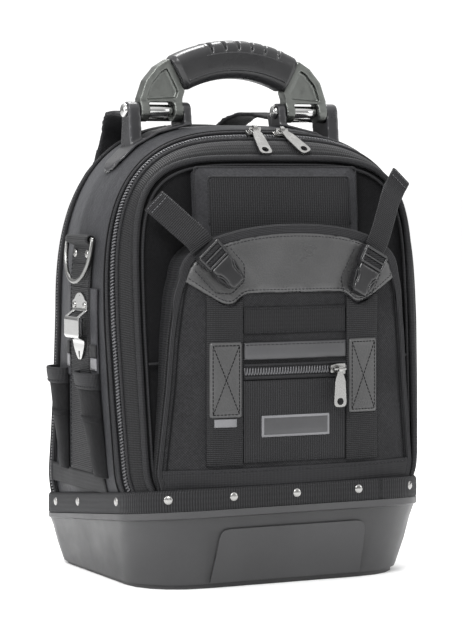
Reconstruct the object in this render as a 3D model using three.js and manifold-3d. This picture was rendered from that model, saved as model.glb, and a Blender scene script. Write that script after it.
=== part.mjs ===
// A tool backpack: a zipped cloth body on a moulded base tub, with a swinging carry handle.
// Millimetres. +X is the wearer's left seen from the front, -Y is the front, +Z is up, the floor is z = 0.
import * as THREE from "three";
import { mergeVertices } from "three/addons/utils/BufferGeometryUtils.js";
import Module from "manifold-3d";

const wasm = await Module();
wasm.setup();

// Clearances
const gap = 0.3; // between pieces that touch
const runningGap = 0.4; // round a pin or a bar that turns

// Base tub
const tubWidth = 320;
const tubFront = -144;
const tubRear = 136;
const rimFront = 80; // height of the rim at the front
const rimRear = 48; // height of the rim at the back
const frontCorner = 65; // plan radius of the two front corners
const rearCorner = 45;
const tubWall = 3.5;
const tubFloor = 4;
const tubSideTaper = 12.5; // how far each side wall leans in at the floor
const tubFrontTaper = 26;
const tubRearTaper = 13;
const rimLedge = 1.5; // lip that the belt stands on
const ledgeShare = 0.92; // the lip's lower edge, as a share of the rim's height
const footInset = 4; // the foot plate stands inside the wall
const panelTopHalf = 79; // raised trapezoid on the front wall
const panelFootHalf = 82;
const panelTop = 60;
const panelFoot = 6;
const panelProud = 2;
const panelCorner = 10;

// Belt of heavy webbing round the foot of the cloth body
const beltHeight = 20;
const beltThickness = 2;
const beltSetback = 0.5; // the belt's face lies this far inside the plan of the tub
const rivetRadius = 4.6;
const rivetHeight = 2.6;
const rivetShare = 0.6; // how far up the belt the rivets sit
const cornerRivetInset = 28.5; // of the two corner rivets, from the tub's side
const cornerRivetBack = 11.3; // and from its front

// Cloth body
const bodyOverhang = 10; // how far the cloth body stands out past the tub on each side
const bodyWidth = tubWidth + 2 * bodyOverhang; // at the waist, just behind the front zip
const bodyTop = 450;
const bodyWaist = 255; // where the sides turn into the arch
const bodyLean = 0.085; // how far the front comes forward for each millimetre below the top
const bulgeRise = 10; // height of that place over the belt
const bodyFront = -90;
const frontBayDepth = 20;
const zipWidth = 11;
const centreDepth = 146;
const clothWall = 3;
const lipWidth = 5; // edge binding round the front face
const lipDepth = 3;

// Front pocket
const pocketFront = -140.6; // its face on the middle line
const pocketTop = 352;
const pocketShoulder = 305; // where the side seams turn into the arc
const pocketShoulderHalf = 118.5;
const pocketBow = 20; // how far the side edges lie behind the middle
const pocketBowHalf = 143;
const pocketWall = 2.5;
const pocketBinding = 10;

// What is sewn on the front pocket
const patchThickness = 1.8;
const patchFoot = 286;
const patchDipHalf = 67;
const patchDip = 274;
const patchDipRun = 12; // length of each slope beside the dip
const patchTipIn = 4; // each side tip lies this far inside the pocket's edge
const webbingThickness = 1.6;
const webbingInner = 56;
const webbingOuter = 93;
const webbingFoot = 121;
const strapPatchInner = 58;
const strapPatchOuter = 91;
const strapPatchFoot = 167;
const strapPatchTop = 240;
const flapFoot = 222;
const flapTop = 239;
const zipTapeFoot = 203;
const zipTapeTop = 217;
const zipTapeThickness = 1.2;
const flapThickness = 2.2;
const pocketSliderX = 44;
const pocketSliderZ = 211;
const labelHalf = 37;
const labelFoot = 147;
const labelTop = 168;
const labelThickness = 1.6;

// Padded box above the front pocket
const boxHalf = 89;
const boxTop = 407;
const boxFoot = 244;
const boxFaceY = -105;
const boxBevel = 12;
const boxCorner = 6;
const topBevelShare = 0.8; // height of the top bevel, as a share of the side bevels

// Buckles and their straps
const buckleLength = 47;
const buckleWidth = 28;
const buckleTipWidth = 17;
const buckleThickness = 8.5;
const buckleBar = 3; // width of the bar that the strap turns round
const buckleSlot = 5.5;
const buckleLift = 2; // the flat buckle bridges the bowed patch
const strapWidth = 25;
const strapThickness = 1.8;

// Handle
const pinHeight = 463;
const pinRadius = 4;
const knuckleRadius = 11;
const earRadius = 9;
const barrelInner = 68; // distance of each barrel's inner end from the middle
const barrelOuter = 94;
const barrelRadius = 6.3;
const barrelClear = 2; // gap over the barrel, under the arm
const knuckleWidth = 10;
const earThickness = 13;
const earInnerThickness = 8.5;
const boltRadius = 7;
const boltHeight = 4;
const armThickness = 14.5;
const armRim = 7; // width of the raised edge round each arm's sunk panel
const armSink = 4;
const armStep = 1; // the arms end this far inside the grip's edges
const gripCentre = 380; // height of the middle of the grip's arc
const gripInner = 116;
const gripOuter = 154;
const gripDepth = 30;
const gripHalfAngle = 28;
const coreInner = 124;
const coreOuter = 146;
const coreDepth = 12;
const coreRoot = 1.5; // degrees by which the core runs into each arm

// Brackets that carry the handle on the shoulders of the bag
const saddleDepth = 40;
const saddleThickness = 3;
const saddleOuter = 137;
const rodRadius = 3;
const rodHeight = 456;
const rodY = 21;
const rodWall = 2; // material round the rod's seat
const rodPost = 7; // how far each post reaches ahead of the rod
const rodSeat = 5; // width of each post
const rodSink = 2.7; // how far the rod runs into each post
const saddleWaist = 0.6; // depth of the saddle's inner end, as a share of its own

// Side fittings
const sideWebbingWidth = 55;
const sideWebbingY = -3;
const sideBand = 24; // cloth band over the belt, below the webbing
const ringBarHeight = 336;
const ringWire = 2.3;
const ringBarHalf = 32;
const ringDrop = 42;
const ringRest = 2.6; // how far the hanging ring stands off the webbing
const loopWall = 2;
const sleeveWall = 2;
const sleeveDrop = 130; // from the ring's bar down to the mouths of the sleeves
const sleeveTop = ringBarHeight - sleeveDrop;
const sleeveFoot = 104;
const seamSink = 2; // the seams are drawn this far inside the side, then cut to it
const clipWidth = 30;
const clipThickness = 2;
const clipY = -9;
const clipDrop = 52; // from the ring's bar down to the clip
const clipLength = 70;
const clipStand = 9; // how far the square stands off the plates

// Zip pulls
const pullLength = 37;
const pullWidth = 14;
const pullThickness = 2;
const pullHole = 3.6;
const pullEyeWire = 1.5;
const eyeWidth = 4.2;
const sliderLength = 16;
const sliderWidth = 10;
const sliderBase = 4;
const bridgeWire = 1.2; // radius of the bridge's bar
const bridgeHalf = 5.4; // half the span between the bridge's legs
const bridgeAxis = 8; // height of the bar over the slider's base

// Back
const backThickness = 16;
const backHalf = 118;
const backTop = 428;
const backFoot = 84;
const backCorner = 26;
const backShoulder = 84; // radius of its two upper corners
const shoulderWidth = 62;
const shoulderThickness = 11;
const rootWidth = 27;
const rootThickness = 4;

const tubHalf = tubWidth / 2;
const beltSpace = beltSetback + beltThickness + gap; // from the plan of the tub to the cloth inside the belt
const bodyHalf = bodyWidth / 2;
const bodyRear = tubRear - beltSpace - gap;
const frontZipY = bodyFront + frontBayDepth;
const centreFront = frontZipY + zipWidth;
const centreRear = centreFront + centreDepth;
const rearBayFront = centreRear + zipWidth;

// Cross sections of the cloth body from front to back, as shares of the depth, the half width and the height.
// bulge is the width low down as a share of the waist's, lean how much of the forward lean a section has.
const bodySections = [
  { at: 0, half: 0.885, top: 0.922, power: 4.9, bulge: 0.98, lean: 1 },
  { at: 0.055, half: 0.945, top: 0.957, power: 3.5, bulge: 0.975, lean: 1 },
  { at: 0.14, half: 0.99, top: 0.979, power: 3.05, bulge: 0.96, lean: 1 },
  { at: 0.2, half: 0.99, top: 0.993, power: 2.95, bulge: 0.97, lean: 0.45 },
  { at: 0.3, half: 0.985, top: 1, power: 2.95, bulge: 0.98, lean: 0 },
  { at: 0.51, half: 0.97, top: 1, power: 2.9, bulge: 1, lean: 0 },
  { at: 0.65, half: 0.935, top: 1, power: 2.8, bulge: 1.02, lean: 0 },
  { at: 0.8, half: 0.905, top: 1, power: 2.6, bulge: 1.05, lean: 0 },
  { at: 0.93, half: 0.865, top: 0.98, power: 2.6, bulge: 1.06, lean: 0 },
  { at: 1, half: 0.79, top: 0.93, power: 2.6, bulge: 1.05, lean: 0 },
];
// Half widths of the front pocket below its shoulders.
// Both columns are shares, of the shoulder's height and of its half width.
const pocketSections = [
  { at: 0, half: 1.16 },
  { at: 0.34, half: 1.165 },
  { at: 0.37, half: 1.195 },
  { at: 0.64, half: 1.125 },
  { at: 0.8, half: 1.095 },
  { at: 0.94, half: 1.05 },
  { at: 1, half: 1 },
];
// Wall of the tub from the floor up: height as a share of the rim's, lean as a share of the taper.
const tubSections = [
  { at: 0.06, lean: 1 },
  { at: 0.13, lean: 0.9 },
  { at: 0.45, lean: 0.52 },
  { at: 0.74, lean: 0.26 },
  { at: 0.9, lean: 0.06 },
];

const degrees = Math.PI / 180;
const strapSteps = 2; // steps between two rows of a strap's route
const planSteps = 5; // steps round each corner of the plan
const curveSteps = 3; // steps round a rounded corner
const cutPast = 5; // how far a cutting shape runs past what it cuts
const far = 500; // past every face of the part
const mix = (a, b, t) => a + (b - a) * t;

// The height of the tub's rim over a place on the plan.
const rimAt = (y) => mix(rimFront, rimRear, (y - tubFront) / (tubRear - tubFront));

// Reads a column of a table of sections at a share of its length.
function column(table, name, at) {
  const next = table.findIndex((row) => row.at >= at);
  if (next === 0) return table[0][name];
  if (next < 0) return table[table.length - 1][name];
  const a = table[next - 1];
  const b = table[next];
  return mix(a[name], b[name], (at - a.at) / (b.at - a.at));
}

// Triangles that fill a flat ring, turned the way the ring runs.
function fillRing(ring) {
  const normal = new THREE.Vector3();
  ring.forEach((p, i) => {
    const q = ring[(i + 1) % ring.length];
    const x = (p.y - q.y) * (p.z + q.z);
    const y = (p.z - q.z) * (p.x + q.x);
    const z = (p.x - q.x) * (p.y + q.y);
    normal.add(new THREE.Vector3(x, y, z));
  });
  const side = new THREE.Vector3(Math.abs(normal.x) > 0.9 * normal.length() ? 0 : 1, 0, 0);
  if (side.x === 0) side.y = 1;
  const across = side.cross(normal).normalize();
  const along = normal.clone().cross(across).normalize();
  const flat = ring.map((p) => new THREE.Vector2(p.dot(across), p.dot(along)));
  const turn = THREE.ShapeUtils.area(flat);
  return THREE.ShapeUtils.triangulateShape(flat, []).map(([a, b, c]) => {
    const area = THREE.ShapeUtils.area([flat[a], flat[b], flat[c]]);
    return area * turn > 0 ? [a, b, c] : [a, c, b];
  });
}

// A closed mesh through rings that all have the same number of points.
// A loop joins its last ring to its first.
function skin(rings, loop = false) {
  const count = rings[0].length;
  const index = [];
  const spans = loop ? rings.length : rings.length - 1;
  for (let k = 0; k < spans; k++) {
    const a = k * count;
    const b = ((k + 1) % rings.length) * count;
    for (let i = 0; i < count; i++) {
      const j = (i + 1) % count;
      index.push(a + i, a + j, b + j, a + i, b + j, b + i);
    }
  }
  if (!loop) {
    const last = (rings.length - 1) * count;
    for (const [a, b, c] of fillRing(rings[0])) index.push(a, c, b);
    for (const [a, b, c] of fillRing(rings[rings.length - 1])) index.push(last + a, last + b, last + c);
  }
  const geometry = new THREE.BufferGeometry().setFromPoints(rings.flat());
  geometry.setIndex(index);
  return toSolid(geometry);
}

function toSolid(geometry) {
  const bare = new THREE.BufferGeometry();
  const flat = geometry.index ? geometry.toNonIndexed() : geometry;
  bare.setAttribute("position", flat.getAttribute("position"));
  const merged = mergeVertices(bare, 1e-4);
  const triVerts = new Uint32Array(merged.index.array);
  const make = () =>
    new wasm.Manifold(
      new wasm.Mesh({ numProp: 3, vertProperties: merged.attributes.position.array, triVerts }),
    );
  const solid = make();
  if (solid.volume() > 0) return solid;
  for (let i = 0; i < triVerts.length; i += 3) {
    [triVerts[i + 1], triVerts[i + 2]] = [triVerts[i + 2], triVerts[i + 1]];
  }
  return make();
}

function toGeometry(solid) {
  const { numProp, numVert, vertProperties, triVerts } = solid.getMesh();
  const position = new Float32Array(numVert * 3);
  for (let i = 0; i < numVert; i++) {
    position.set(vertProperties.subarray(i * numProp, i * numProp + 3), i * 3);
  }
  const geometry = new THREE.BufferGeometry();
  geometry.setAttribute("position", new THREE.BufferAttribute(position, 3));
  geometry.setIndex(new THREE.BufferAttribute(triVerts, 1));
  geometry.computeVertexNormals();
  return geometry;
}

const join = (...solids) => solids.reduce((a, b) => a.add(b));

// Directions of an outline's two coordinates and of its extrusion, for a prism along each axis.
const prismFrames = {
  x: [new THREE.Vector3(0, 1, 0), new THREE.Vector3(0, 0, 1), new THREE.Vector3(1, 0, 0)],
  y: [new THREE.Vector3(1, 0, 0), new THREE.Vector3(0, 0, 1), new THREE.Vector3(0, -1, 0)],
  z: [new THREE.Vector3(1, 0, 0), new THREE.Vector3(0, 1, 0), new THREE.Vector3(0, 0, 1)],
};

// An outline of [across, up] points, or a shape, pushed along an axis between two places.
function prism(outline, axis, from, to, holes = []) {
  const drawn = outline instanceof THREE.Shape;
  const points = drawn ? outline.getPoints(curveSteps) : outline.map(([a, b]) => new THREE.Vector2(a, b));
  const shape = new THREE.Shape(THREE.ShapeUtils.area(points) < 0 ? points.reverse() : points);
  shape.holes = holes;
  const geometry = new THREE.ExtrudeGeometry(shape, { depth: to - from, bevelEnabled: false });
  geometry.applyMatrix4(new THREE.Matrix4().makeBasis(...prismFrames[axis]));
  const start = axis === "y" ? to : from;
  geometry.translate(axis === "x" ? start : 0, axis === "y" ? start : 0, axis === "z" ? start : 0);
  return toSolid(geometry);
}

const block = (x0, x1, y0, y1, z0, z1) =>
  toSolid(
    new THREE.BoxGeometry(x1 - x0, y1 - y0, z1 - z0)
      .translate((x0 + x1) / 2, (y0 + y1) / 2, (z0 + z1) / 2),
  );

// A round bar along X or Y.
function bar(axis, from, to, radius, across, up, sides = 16) {
  const geometry = new THREE.CylinderGeometry(radius, radius, to - from, sides);
  if (axis === "x") geometry.rotateZ(Math.PI / 2).translate((from + to) / 2, across, up);
  else geometry.translate(across, (from + to) / 2, up);
  return toSolid(geometry);
}

// An outline with its corners rounded, each corner given as [across, up, radius].
function rounded(corners) {
  const shape = new THREE.Shape();
  const count = corners.length;
  corners.forEach(([x, y, radius], i) => {
    const corner = new THREE.Vector2(x, y);
    const before = new THREE.Vector2(...corners[(i + count - 1) % count]).sub(corner);
    const after = new THREE.Vector2(...corners[(i + 1) % count]).sub(corner);
    const start = corner.clone().addScaledVector(before.normalize(), radius);
    const end = corner.clone().addScaledVector(after.normalize(), radius);
    if (i === 0) shape.moveTo(start.x, start.y);
    else shape.lineTo(start.x, start.y);
    if (radius > 0) shape.quadraticCurveTo(x, y, end.x, end.y);
  });
  shape.closePath();
  return shape;
}

// A flat strap through points, with the direction of its width at each point and its sizes.
function ribbon(points, across, widths, thicknesses) {
  const rings = points.map((p, i) => {
    const before = points[Math.max(0, i - 1)];
    const after = points[Math.min(points.length - 1, i + 1)];
    const along = after.clone().sub(before).normalize();
    const side = (Array.isArray(across) ? across[i] : across).clone();
    side.addScaledVector(along, -side.dot(along)).normalize();
    const up = side.clone().cross(along).normalize();
    const w = (Array.isArray(widths) ? widths[i] : widths) / 2;
    const t = (Array.isArray(thicknesses) ? thicknesses[i] : thicknesses) / 2;
    return [
      [-w, -t],
      [w, -t],
      [w, t],
      [-w, t],
    ].map(([a, b]) => p.clone().addScaledVector(side, a).addScaledVector(up, b));
  });
  return skin(rings);
}

const mirrorX = (solid) => solid.mirror([1, 0, 0]);
const sided = (solid, side) => (side < 0 ? solid : mirrorX(solid)); // shapes are drawn for the -X side

// Plan of the tub, moved in by an inset, as points round from the middle of the rear.
function planOutline(inset = 0) {
  const corners = [
    { x: -1, y: tubRear, radius: rearCorner, from: 90 },
    { x: -1, y: tubFront, radius: frontCorner, from: 180 },
    { x: 1, y: tubFront, radius: frontCorner, from: 270 },
    { x: 1, y: tubRear, radius: rearCorner, from: 0 },
  ];
  return corners.flatMap(({ x, y, radius, from }) => {
    const middle = [x * (tubHalf - radius), y + (y > 0 ? -radius : radius)];
    const r = radius - inset;
    return Array.from({ length: planSteps + 1 }, (_, i) => {
      const a = (from + (90 * i) / planSteps) * degrees;
      return [middle[0] + r * Math.cos(a), middle[1] + r * Math.sin(a)];
    });
  });
}

// Half width that fits inside the faceted plan at a place between front and back.
function planHalf(y, inset) {
  const radius = y < 0 ? frontCorner : rearCorner;
  const centre = y < 0 ? tubFront + frontCorner : tubRear - rearCorner;
  const into = y < 0 ? centre - y : y - centre;
  if (into <= 0) return tubHalf - inset - (radius - inset) * (1 - Math.cos((45 / planSteps) * degrees));
  const flat = (radius - inset) * Math.cos((45 / planSteps) * degrees);
  return tubHalf - radius + Math.sqrt(Math.max(0, flat ** 2 - into ** 2));
}

// One level of the tub: the plan, leaned in towards the floor.
function tubRing(height, lean, inset, level = null) {
  const middle = (tubFront + tubRear) / 2;
  const front = tubFront + tubFrontTaper * lean;
  const rear = tubRear - tubRearTaper * lean;
  const spread = (rear - front) / (tubRear - tubFront);
  return planOutline(inset).map(([x, y]) => {
    const z = level === null ? height * rimAt(y) : level;
    const across = (x * (tubHalf - tubSideTaper * lean)) / tubHalf;
    return new THREE.Vector3(across, (front + rear) / 2 + (y - middle) * spread, z);
  });
}

// Raised trapezoid on the tub's front wall.
function frontPanel() {
  const buried = tubWall / 2; // how deep the panel is rooted in the wall
  const face = tubSections.map(({ at, lean }) => [
    tubFront + tubFrontTaper * lean - panelProud,
    at * rimFront,
  ]);
  const profile = [
    [tubFront + tubFrontTaper + buried, panelFoot - panelProud],
    [tubFront + tubFrontTaper - panelProud, panelFoot - panelProud],
    ...face.slice(1),
    [tubFront - panelProud, rimFront],
    [tubFront + buried, rimFront],
    [tubFront + tubFrontTaper / 2 + buried, rimFront * 0.4],
  ];
  const outline = rounded([
    [-panelFootHalf, panelFoot, 1],
    [panelFootHalf, panelFoot, 1],
    [panelTopHalf, panelTop, panelCorner],
    [-panelTopHalf, panelTop, panelCorner],
  ]);
  return prism(profile, "x", -tubHalf, tubHalf).intersect(prism(outline, "y", tubFront * 2, 0));
}

function makeTub() {
  const wall = tubSections.map(({ at, lean }) => tubRing(at, lean, 0));
  const outer = [
    tubRing(0, 1, footInset, 0),
    tubRing(tubSections[0].at, 1, footInset),
    ...wall,
    tubRing(ledgeShare, 0, -rimLedge),
    tubRing(1, 0, -rimLedge),
  ];
  const inside = tubSections.slice(1).map(({ at, lean }) => tubRing(at, lean, tubWall));
  const inner = [tubRing(1, 0, tubWall), ...inside.reverse(), tubRing(0, 1, tubWall + footInset, tubFloor)];
  return skin([...outer, ...inner]).add(frontPanel());
}

function beltRings(inset, low, high) {
  return [low, high].map((rise) =>
    planOutline(inset).map(([x, y]) => new THREE.Vector3(x, y, rimAt(y) + rise)),
  );
}

function makeBelt() {
  const outer = skin(beltRings(beltSetback, gap, beltHeight));
  return outer.subtract(skin(beltRings(beltSetback + beltThickness, gap - cutPast, beltHeight + cutPast)));
}

// A domed rivet head on the belt, at a place on the plan, facing out.
function makeRivet({ x, y, facing }) {
  const z = rimAt(y) + beltHeight * rivetShare;
  const profile = [0, 30, 60, 90].map((a) => {
    const r = rivetRadius * Math.sin(a * degrees);
    return new THREE.Vector2(Math.max(r, 0), rivetHeight * Math.cos(a * degrees));
  });
  const head = new THREE.LatheGeometry([new THREE.Vector2(0, 0), ...profile.reverse()], 10);
  head.rotateX(Math.PI).rotateZ(facing * degrees);
  const out = gap - beltSetback;
  head.translate(x + out * Math.sin(facing * degrees), y - out * Math.cos(facing * degrees), z);
  return toSolid(head);
}

const lowShare = 0.65; // share of the low width gained just over the belt
const crownSteps = 8; // steps of the arch from a side to the top

// The cloth body's arch at a place between front and back, from the left foot over the top to the right foot.
function arch(y, inset = 0, drop = 0) {
  const at = (y - bodyFront) / (bodyRear - bodyFront);
  const share = (name) => column(bodySections, name, at);
  const half = share("half") * bodyHalf - inset;
  const top = share("top") * bodyTop - inset;
  const low = share("half") * share("bulge") * bodyHalf - inset;
  const lean = share("lean") * bodyLean;
  const footY = y - lean * (bodyTop - rimAt(y));
  const foot = Math.min(low, planHalf(footY, beltSpace) - inset);
  const beltTop = rimAt(footY) + beltHeight + gap;
  const side = [
    [foot, rimAt(footY) + gap - drop],
    [foot, beltTop],
    [mix(foot, low, lowShare), beltTop + bulgeRise / 2],
    [low, beltTop + 2 * bulgeRise],
    [mix(low, half, 0.6), mix(beltTop + 2 * bulgeRise, bodyWaist, 0.5)],
  ];
  const power = 2 / share("power");
  const crown = Array.from({ length: crownSteps + 1 }, (_, i) => {
    const a = (i * 90 * degrees) / crownSteps;
    return [half * Math.cos(a) ** power, bodyWaist + (top - bodyWaist) * Math.sin(a) ** power];
  });
  crown[crownSteps][0] = 0;
  const right = [...side, ...crown];
  const left = right.slice(0, -1).map(([x, z]) => [-x, z]);
  return [...left, ...right.reverse()].map(([x, z]) => new THREE.Vector3(x, y - lean * (bodyTop - z), z));
}

// A length of the body between two places, as a solid filling the arch.
function bodySolid(from, to, inset = 0, drop = 0) {
  const shares = bodySections.map(({ at }) => mix(bodyFront, bodyRear, at));
  const places = [from, ...shares.filter((y) => y > from + 1 && y < to - 1), to];
  return skin(places.map((y) => arch(y, inset, drop)));
}


function makeFrontBay() {
  const outer = bodySolid(bodyFront, frontZipY - gap / 2);
  const hollow = bodySolid(bodyFront + lipDepth + clothWall, frontZipY + cutPast, clothWall, cutPast);
  const face = bodySolid(bodyFront - cutPast, bodyFront + lipDepth, lipWidth, -lipWidth);
  return outer.subtract(hollow).subtract(face);
}

function makeBodyRing(from, to, sunk = 0) {
  const outer = bodySolid(from + gap / 2, to - gap / 2, sunk);
  return outer.subtract(bodySolid(from - cutPast, to + cutPast, sunk + clothWall, cutPast));
}

function makeRearBay() {
  const outer = bodySolid(rearBayFront + gap / 2, bodyRear);
  return outer.subtract(bodySolid(rearBayFront - cutPast, bodyRear - clothWall, clothWall, cutPast));
}

// The pocket's face over a place across the bag.
const pocketFaceAt = (x) => pocketFront + pocketBow * (Math.abs(x) / pocketBowHalf) ** 3;

// Front of the pocket in plan, moved out by a lift.
function pocketFace(lift) {
  const wide = pocketBowHalf + cutPast;
  const steps = 12;
  return Array.from({ length: steps + 1 }, (_, i) => {
    const x = mix(-wide, wide, i / steps);
    return [x, pocketFaceAt(x) - lift];
  });
}

const pocketBack = bodyFront - gap;
const faceY = bodyFront + lipDepth - gap; // the cloth face inside the binding

function pocketSlab(lift, back = pocketBack) {
  const front = pocketFace(lift);
  const plan = [...front, [front[front.length - 1][0], back], [front[0][0], back]];
  return prism(plan, "z", 0, far);
}

// Outline of the front pocket: sides up to the shoulders, then an arc.
function pocketOutline(inset = 0) {
  const sides = pocketSections.map(({ at, half }) => [
    half * pocketShoulderHalf - inset,
    at * pocketShoulder,
  ]);
  const steps = 8;
  const arc = Array.from({ length: steps + 1 }, (_, i) => {
    const a = (i * 90 * degrees) / steps;
    const half = pocketShoulderHalf - inset;
    const rise = pocketTop - inset - pocketShoulder;
    return [half * Math.cos(a) ** 0.95, pocketShoulder + rise * Math.sin(a) ** 0.95];
  }).slice(1);
  arc[steps - 1][0] = 0;
  const right = [...sides, ...arc];
  return [...right, ...right.slice(0, -1).reverse().map(([x, z]) => [-x, z])];
}

// Everything over the sloping rim.
function aboveRim() {
  const slope = (y) => rimAt(y) + gap;
  return prism([[-far, slope(-far)], [far, slope(far)], [far, 2 * far], [-far, 2 * far]], "x", -far, far);
}

// Everything behind a plane ahead of the body's leaning face.
function behindFace(ahead) {
  const leanAt = (z) => bodyFront - ahead - bodyLean * (bodyTop - z);
  return prism([[leanAt(0), 0], [far, 0], [far, far], [leanAt(far), far]], "x", -far, far);
}

function makeFrontPocket() {
  const outer = pocketSlab(0).subtract(behindFace(gap)).intersect(prism(pocketOutline(), "y", -far, 0));
  const foot = rimFront + gap + pocketWall;
  const inside = pocketSections.map(({ at, half }) => [
    half * pocketShoulderHalf - pocketWall,
    at * pocketShoulder,
  ]);
  const mouth = [inside[inside.length - 1][0], pocketTop + cutPast];
  const right = [[inside[1][0], foot], ...inside.slice(1), mouth];
  const hollow = prism([...right, ...right.slice().reverse().map(([x, z]) => [-x, z])], "y", -far, 0);
  return outer.subtract(pocketSlab(-pocketWall, 0).intersect(hollow)).intersect(aboveRim());
}

// A flat piece sewn on the pocket's face.
function pocketLayer(outline, lift, thickness) {
  const layer = pocketSlab(lift + thickness).subtract(pocketSlab(lift, 0));
  return layer.intersect(prism(outline, "y", -far, 0));
}

const panel = (x0, x1, z0, z1, radius = 0) =>
  rounded([
    [x0, z0, radius],
    [x1, z0, radius],
    [x1, z1, radius],
    [x0, z1, radius],
  ]);

// Outline of the patch under the buckles, from its left tip round to the right one and back over the arc.
function patchOutline(grow = 0) {
  const tip = [pocketShoulderHalf - patchTipIn + grow, pocketShoulder - grow];
  const right = [
    [patchDipHalf - patchDipRun, patchFoot - grow],
    [patchDipHalf, patchDip - grow],
    [patchDipHalf + patchDipRun, patchDip + patchTipIn - grow],
    tip,
  ];
  const arc = pocketOutline(pocketBinding - grow).filter(([, z]) => z > pocketShoulder + 2);
  return [...right.map(([x, z]) => [-x, z]).reverse(), ...right, ...arc];
}

const makePatch = () => pocketLayer(patchOutline(), gap, patchThickness);

function makeFrontWebbing() {
  const length = panel(-webbingOuter, -webbingInner, webbingFoot, pocketShoulder);
  const strip = pocketLayer(length, gap, webbingThickness);
  return strip.subtract(prism(patchOutline(gap), "y", -far, 0));
}

function makeBox() {
  const front = boxFaceY + bodyLean * (bodyTop - boxTop);
  const ring = (y, bevel) => {
    const half = boxHalf - bevel;
    const top = boxTop - bevel * topBevelShare;
    const right = [[half, boxFoot], [half, top - boxCorner], [half - boxCorner, top]];
    const left = right.map(([x, z]) => [-x, z]).reverse();
    return [...right, ...left].map(([x, z]) => new THREE.Vector3(x, y - bodyLean * (bodyTop - z), z));
  };
  return skin([ring(front, boxBevel), ring(mix(front, faceY, 0.5), 0), ring(faceY, 0)]);
}

// Where each buckle lies: the middle of its bar and of its tip.
const bucklePlaces = {
  left: { side: -1, bar: [-97, 330], tip: [-65, 295] },
  right: { side: 1, bar: [86, 325], tip: [66, 289] },
};

// Right half of a buckle's outline: out as a share of the half width, down as a share of the length.
const buckleEdge = [
  { out: 1, down: 0, round: 2 },
  { out: 1, down: 0.35, round: 3 },
  { out: 0.72, down: 0.46, round: 1 },
  { out: 0.93, down: 0.57, round: 3 },
  { out: buckleTipWidth / buckleWidth, down: 1, round: 4 },
];

// A buckle drawn flat, its bar at the top and its tip below, then turned to its place on the patch.
function makeBuckle({ bar: [bx, bz], tip: [tx, tz] }) {
  const half = buckleWidth / 2;
  const right = buckleEdge.map(({ out, down, round }) => [out * half, -down * buckleLength, round]);
  const left = right.map(([x, z, round]) => [-x, z, round]);
  const slotHalf = half - buckleBar;
  const slot = [
    [-slotHalf, -buckleBar],
    [-slotHalf, -buckleBar - buckleSlot],
    [slotHalf, -buckleBar - buckleSlot],
    [slotHalf, -buckleBar],
  ];
  const holes = [new THREE.Path(slot.map(([x, z]) => new THREE.Vector2(x, z)))];
  const geometry = toGeometry(prism(rounded([...right, ...left.reverse()]), "y", -buckleThickness, 0, holes));
  const pitch = Math.atan2(pocketFaceAt(bx) - pocketFaceAt(tx), Math.hypot(bx - tx, bz - tz));
  const turn = Math.atan2(tx - bx, bz - tz);
  geometry.rotateX(-pitch).rotateY(-turn);
  geometry.translate(bx, pocketFaceAt(bx) - gap - patchThickness - gap - buckleLift, bz);
  return toSolid(geometry);
}

// Free tails of the buckle straps: steps from the buckle's bar to the hemmed end, across, out and up.
const tailRoutes = {
  left: [
    { across: -0.7, out: 0, up: 1.4 },
    { across: -7, out: -2, up: 10 },
    { across: -20, out: -9, up: 23 },
    { across: -31, out: -17, up: 35 },
    { across: -40, out: -26, up: 45 },
  ],
  right: [
    { across: 1, out: 0.2, up: 1 },
    { across: 8, out: -2, up: 12 },
    { across: 19, out: -9, up: 33 },
    { across: 29, out: -17, up: 51 },
    { across: 38, out: -24, up: 61 },
    { across: 48, out: -29, up: 73 },
  ],
};

function makeTail(route, { bar: [bx, bz], tip: [tx, tz] }) {
  const start = pocketFaceAt(bx) - gap - patchThickness - gap - strapThickness / 2;
  const points = route.map((step) =>
    new THREE.Vector3(bx + step.across, start - step.out, bz + step.up),
  );
  const slope = (pocketFaceAt(bx + 1) - pocketFaceAt(bx - 1)) / 2;
  const across = new THREE.Vector3(bz - tz, slope * (bz - tz), tx - bx).normalize();
  return ribbon(points, across, strapWidth, strapThickness);
}

// The carry handle: two arms and the core inside the grip, drawn for the whole arch.
// Outer edge of an arm from its neck to the grip: out as a share of the way in, up as a share of the rise.
const armShoulder = [
  { into: 0, up: 0 },
  { into: 0.2, up: 0.45 },
  { into: 0.58, up: 0.8 },
];

function armOutline() {
  const outer = barrelOuter + knuckleWidth;
  const inner = barrelInner - knuckleWidth;
  const angle = gripHalfAngle * degrees + gap / gripOuter;
  const rim = (r) => [-r * Math.sin(angle), gripCentre + r * Math.cos(angle)];
  const top = rim(gripOuter - armStep);
  const neck = pinHeight + knuckleRadius + armStep;
  const shoulder = armShoulder.map(({ into, up }) => [mix(-outer, top[0], into), mix(neck, top[1], up)]);
  const under = [rim(gripInner + armStep), [-inner, neck], [-inner, pinHeight]];
  return [[-outer, pinHeight], ...shoulder, top, ...under];
}

function inward(points, amount) {
  const count = points.length;
  return points.map(([x, z], i) => {
    const [ax, az] = points[(i + count - 1) % count];
    const [bx, bz] = points[(i + 1) % count];
    const one = new THREE.Vector2(x - ax, z - az).normalize();
    const two = new THREE.Vector2(bx - x, bz - z).normalize();
    const turn = THREE.ShapeUtils.area(points.map(([a, b]) => new THREE.Vector2(a, b))) > 0 ? 1 : -1;
    const normal = new THREE.Vector2(-(one.y + two.y), one.x + two.x).normalize().multiplyScalar(turn);
    const spread = Math.max(0.5, normal.dot(new THREE.Vector2(-one.y, one.x).multiplyScalar(turn)));
    return [x + (normal.x * amount) / spread, z + (normal.y * amount) / spread];
  });
}

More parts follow.
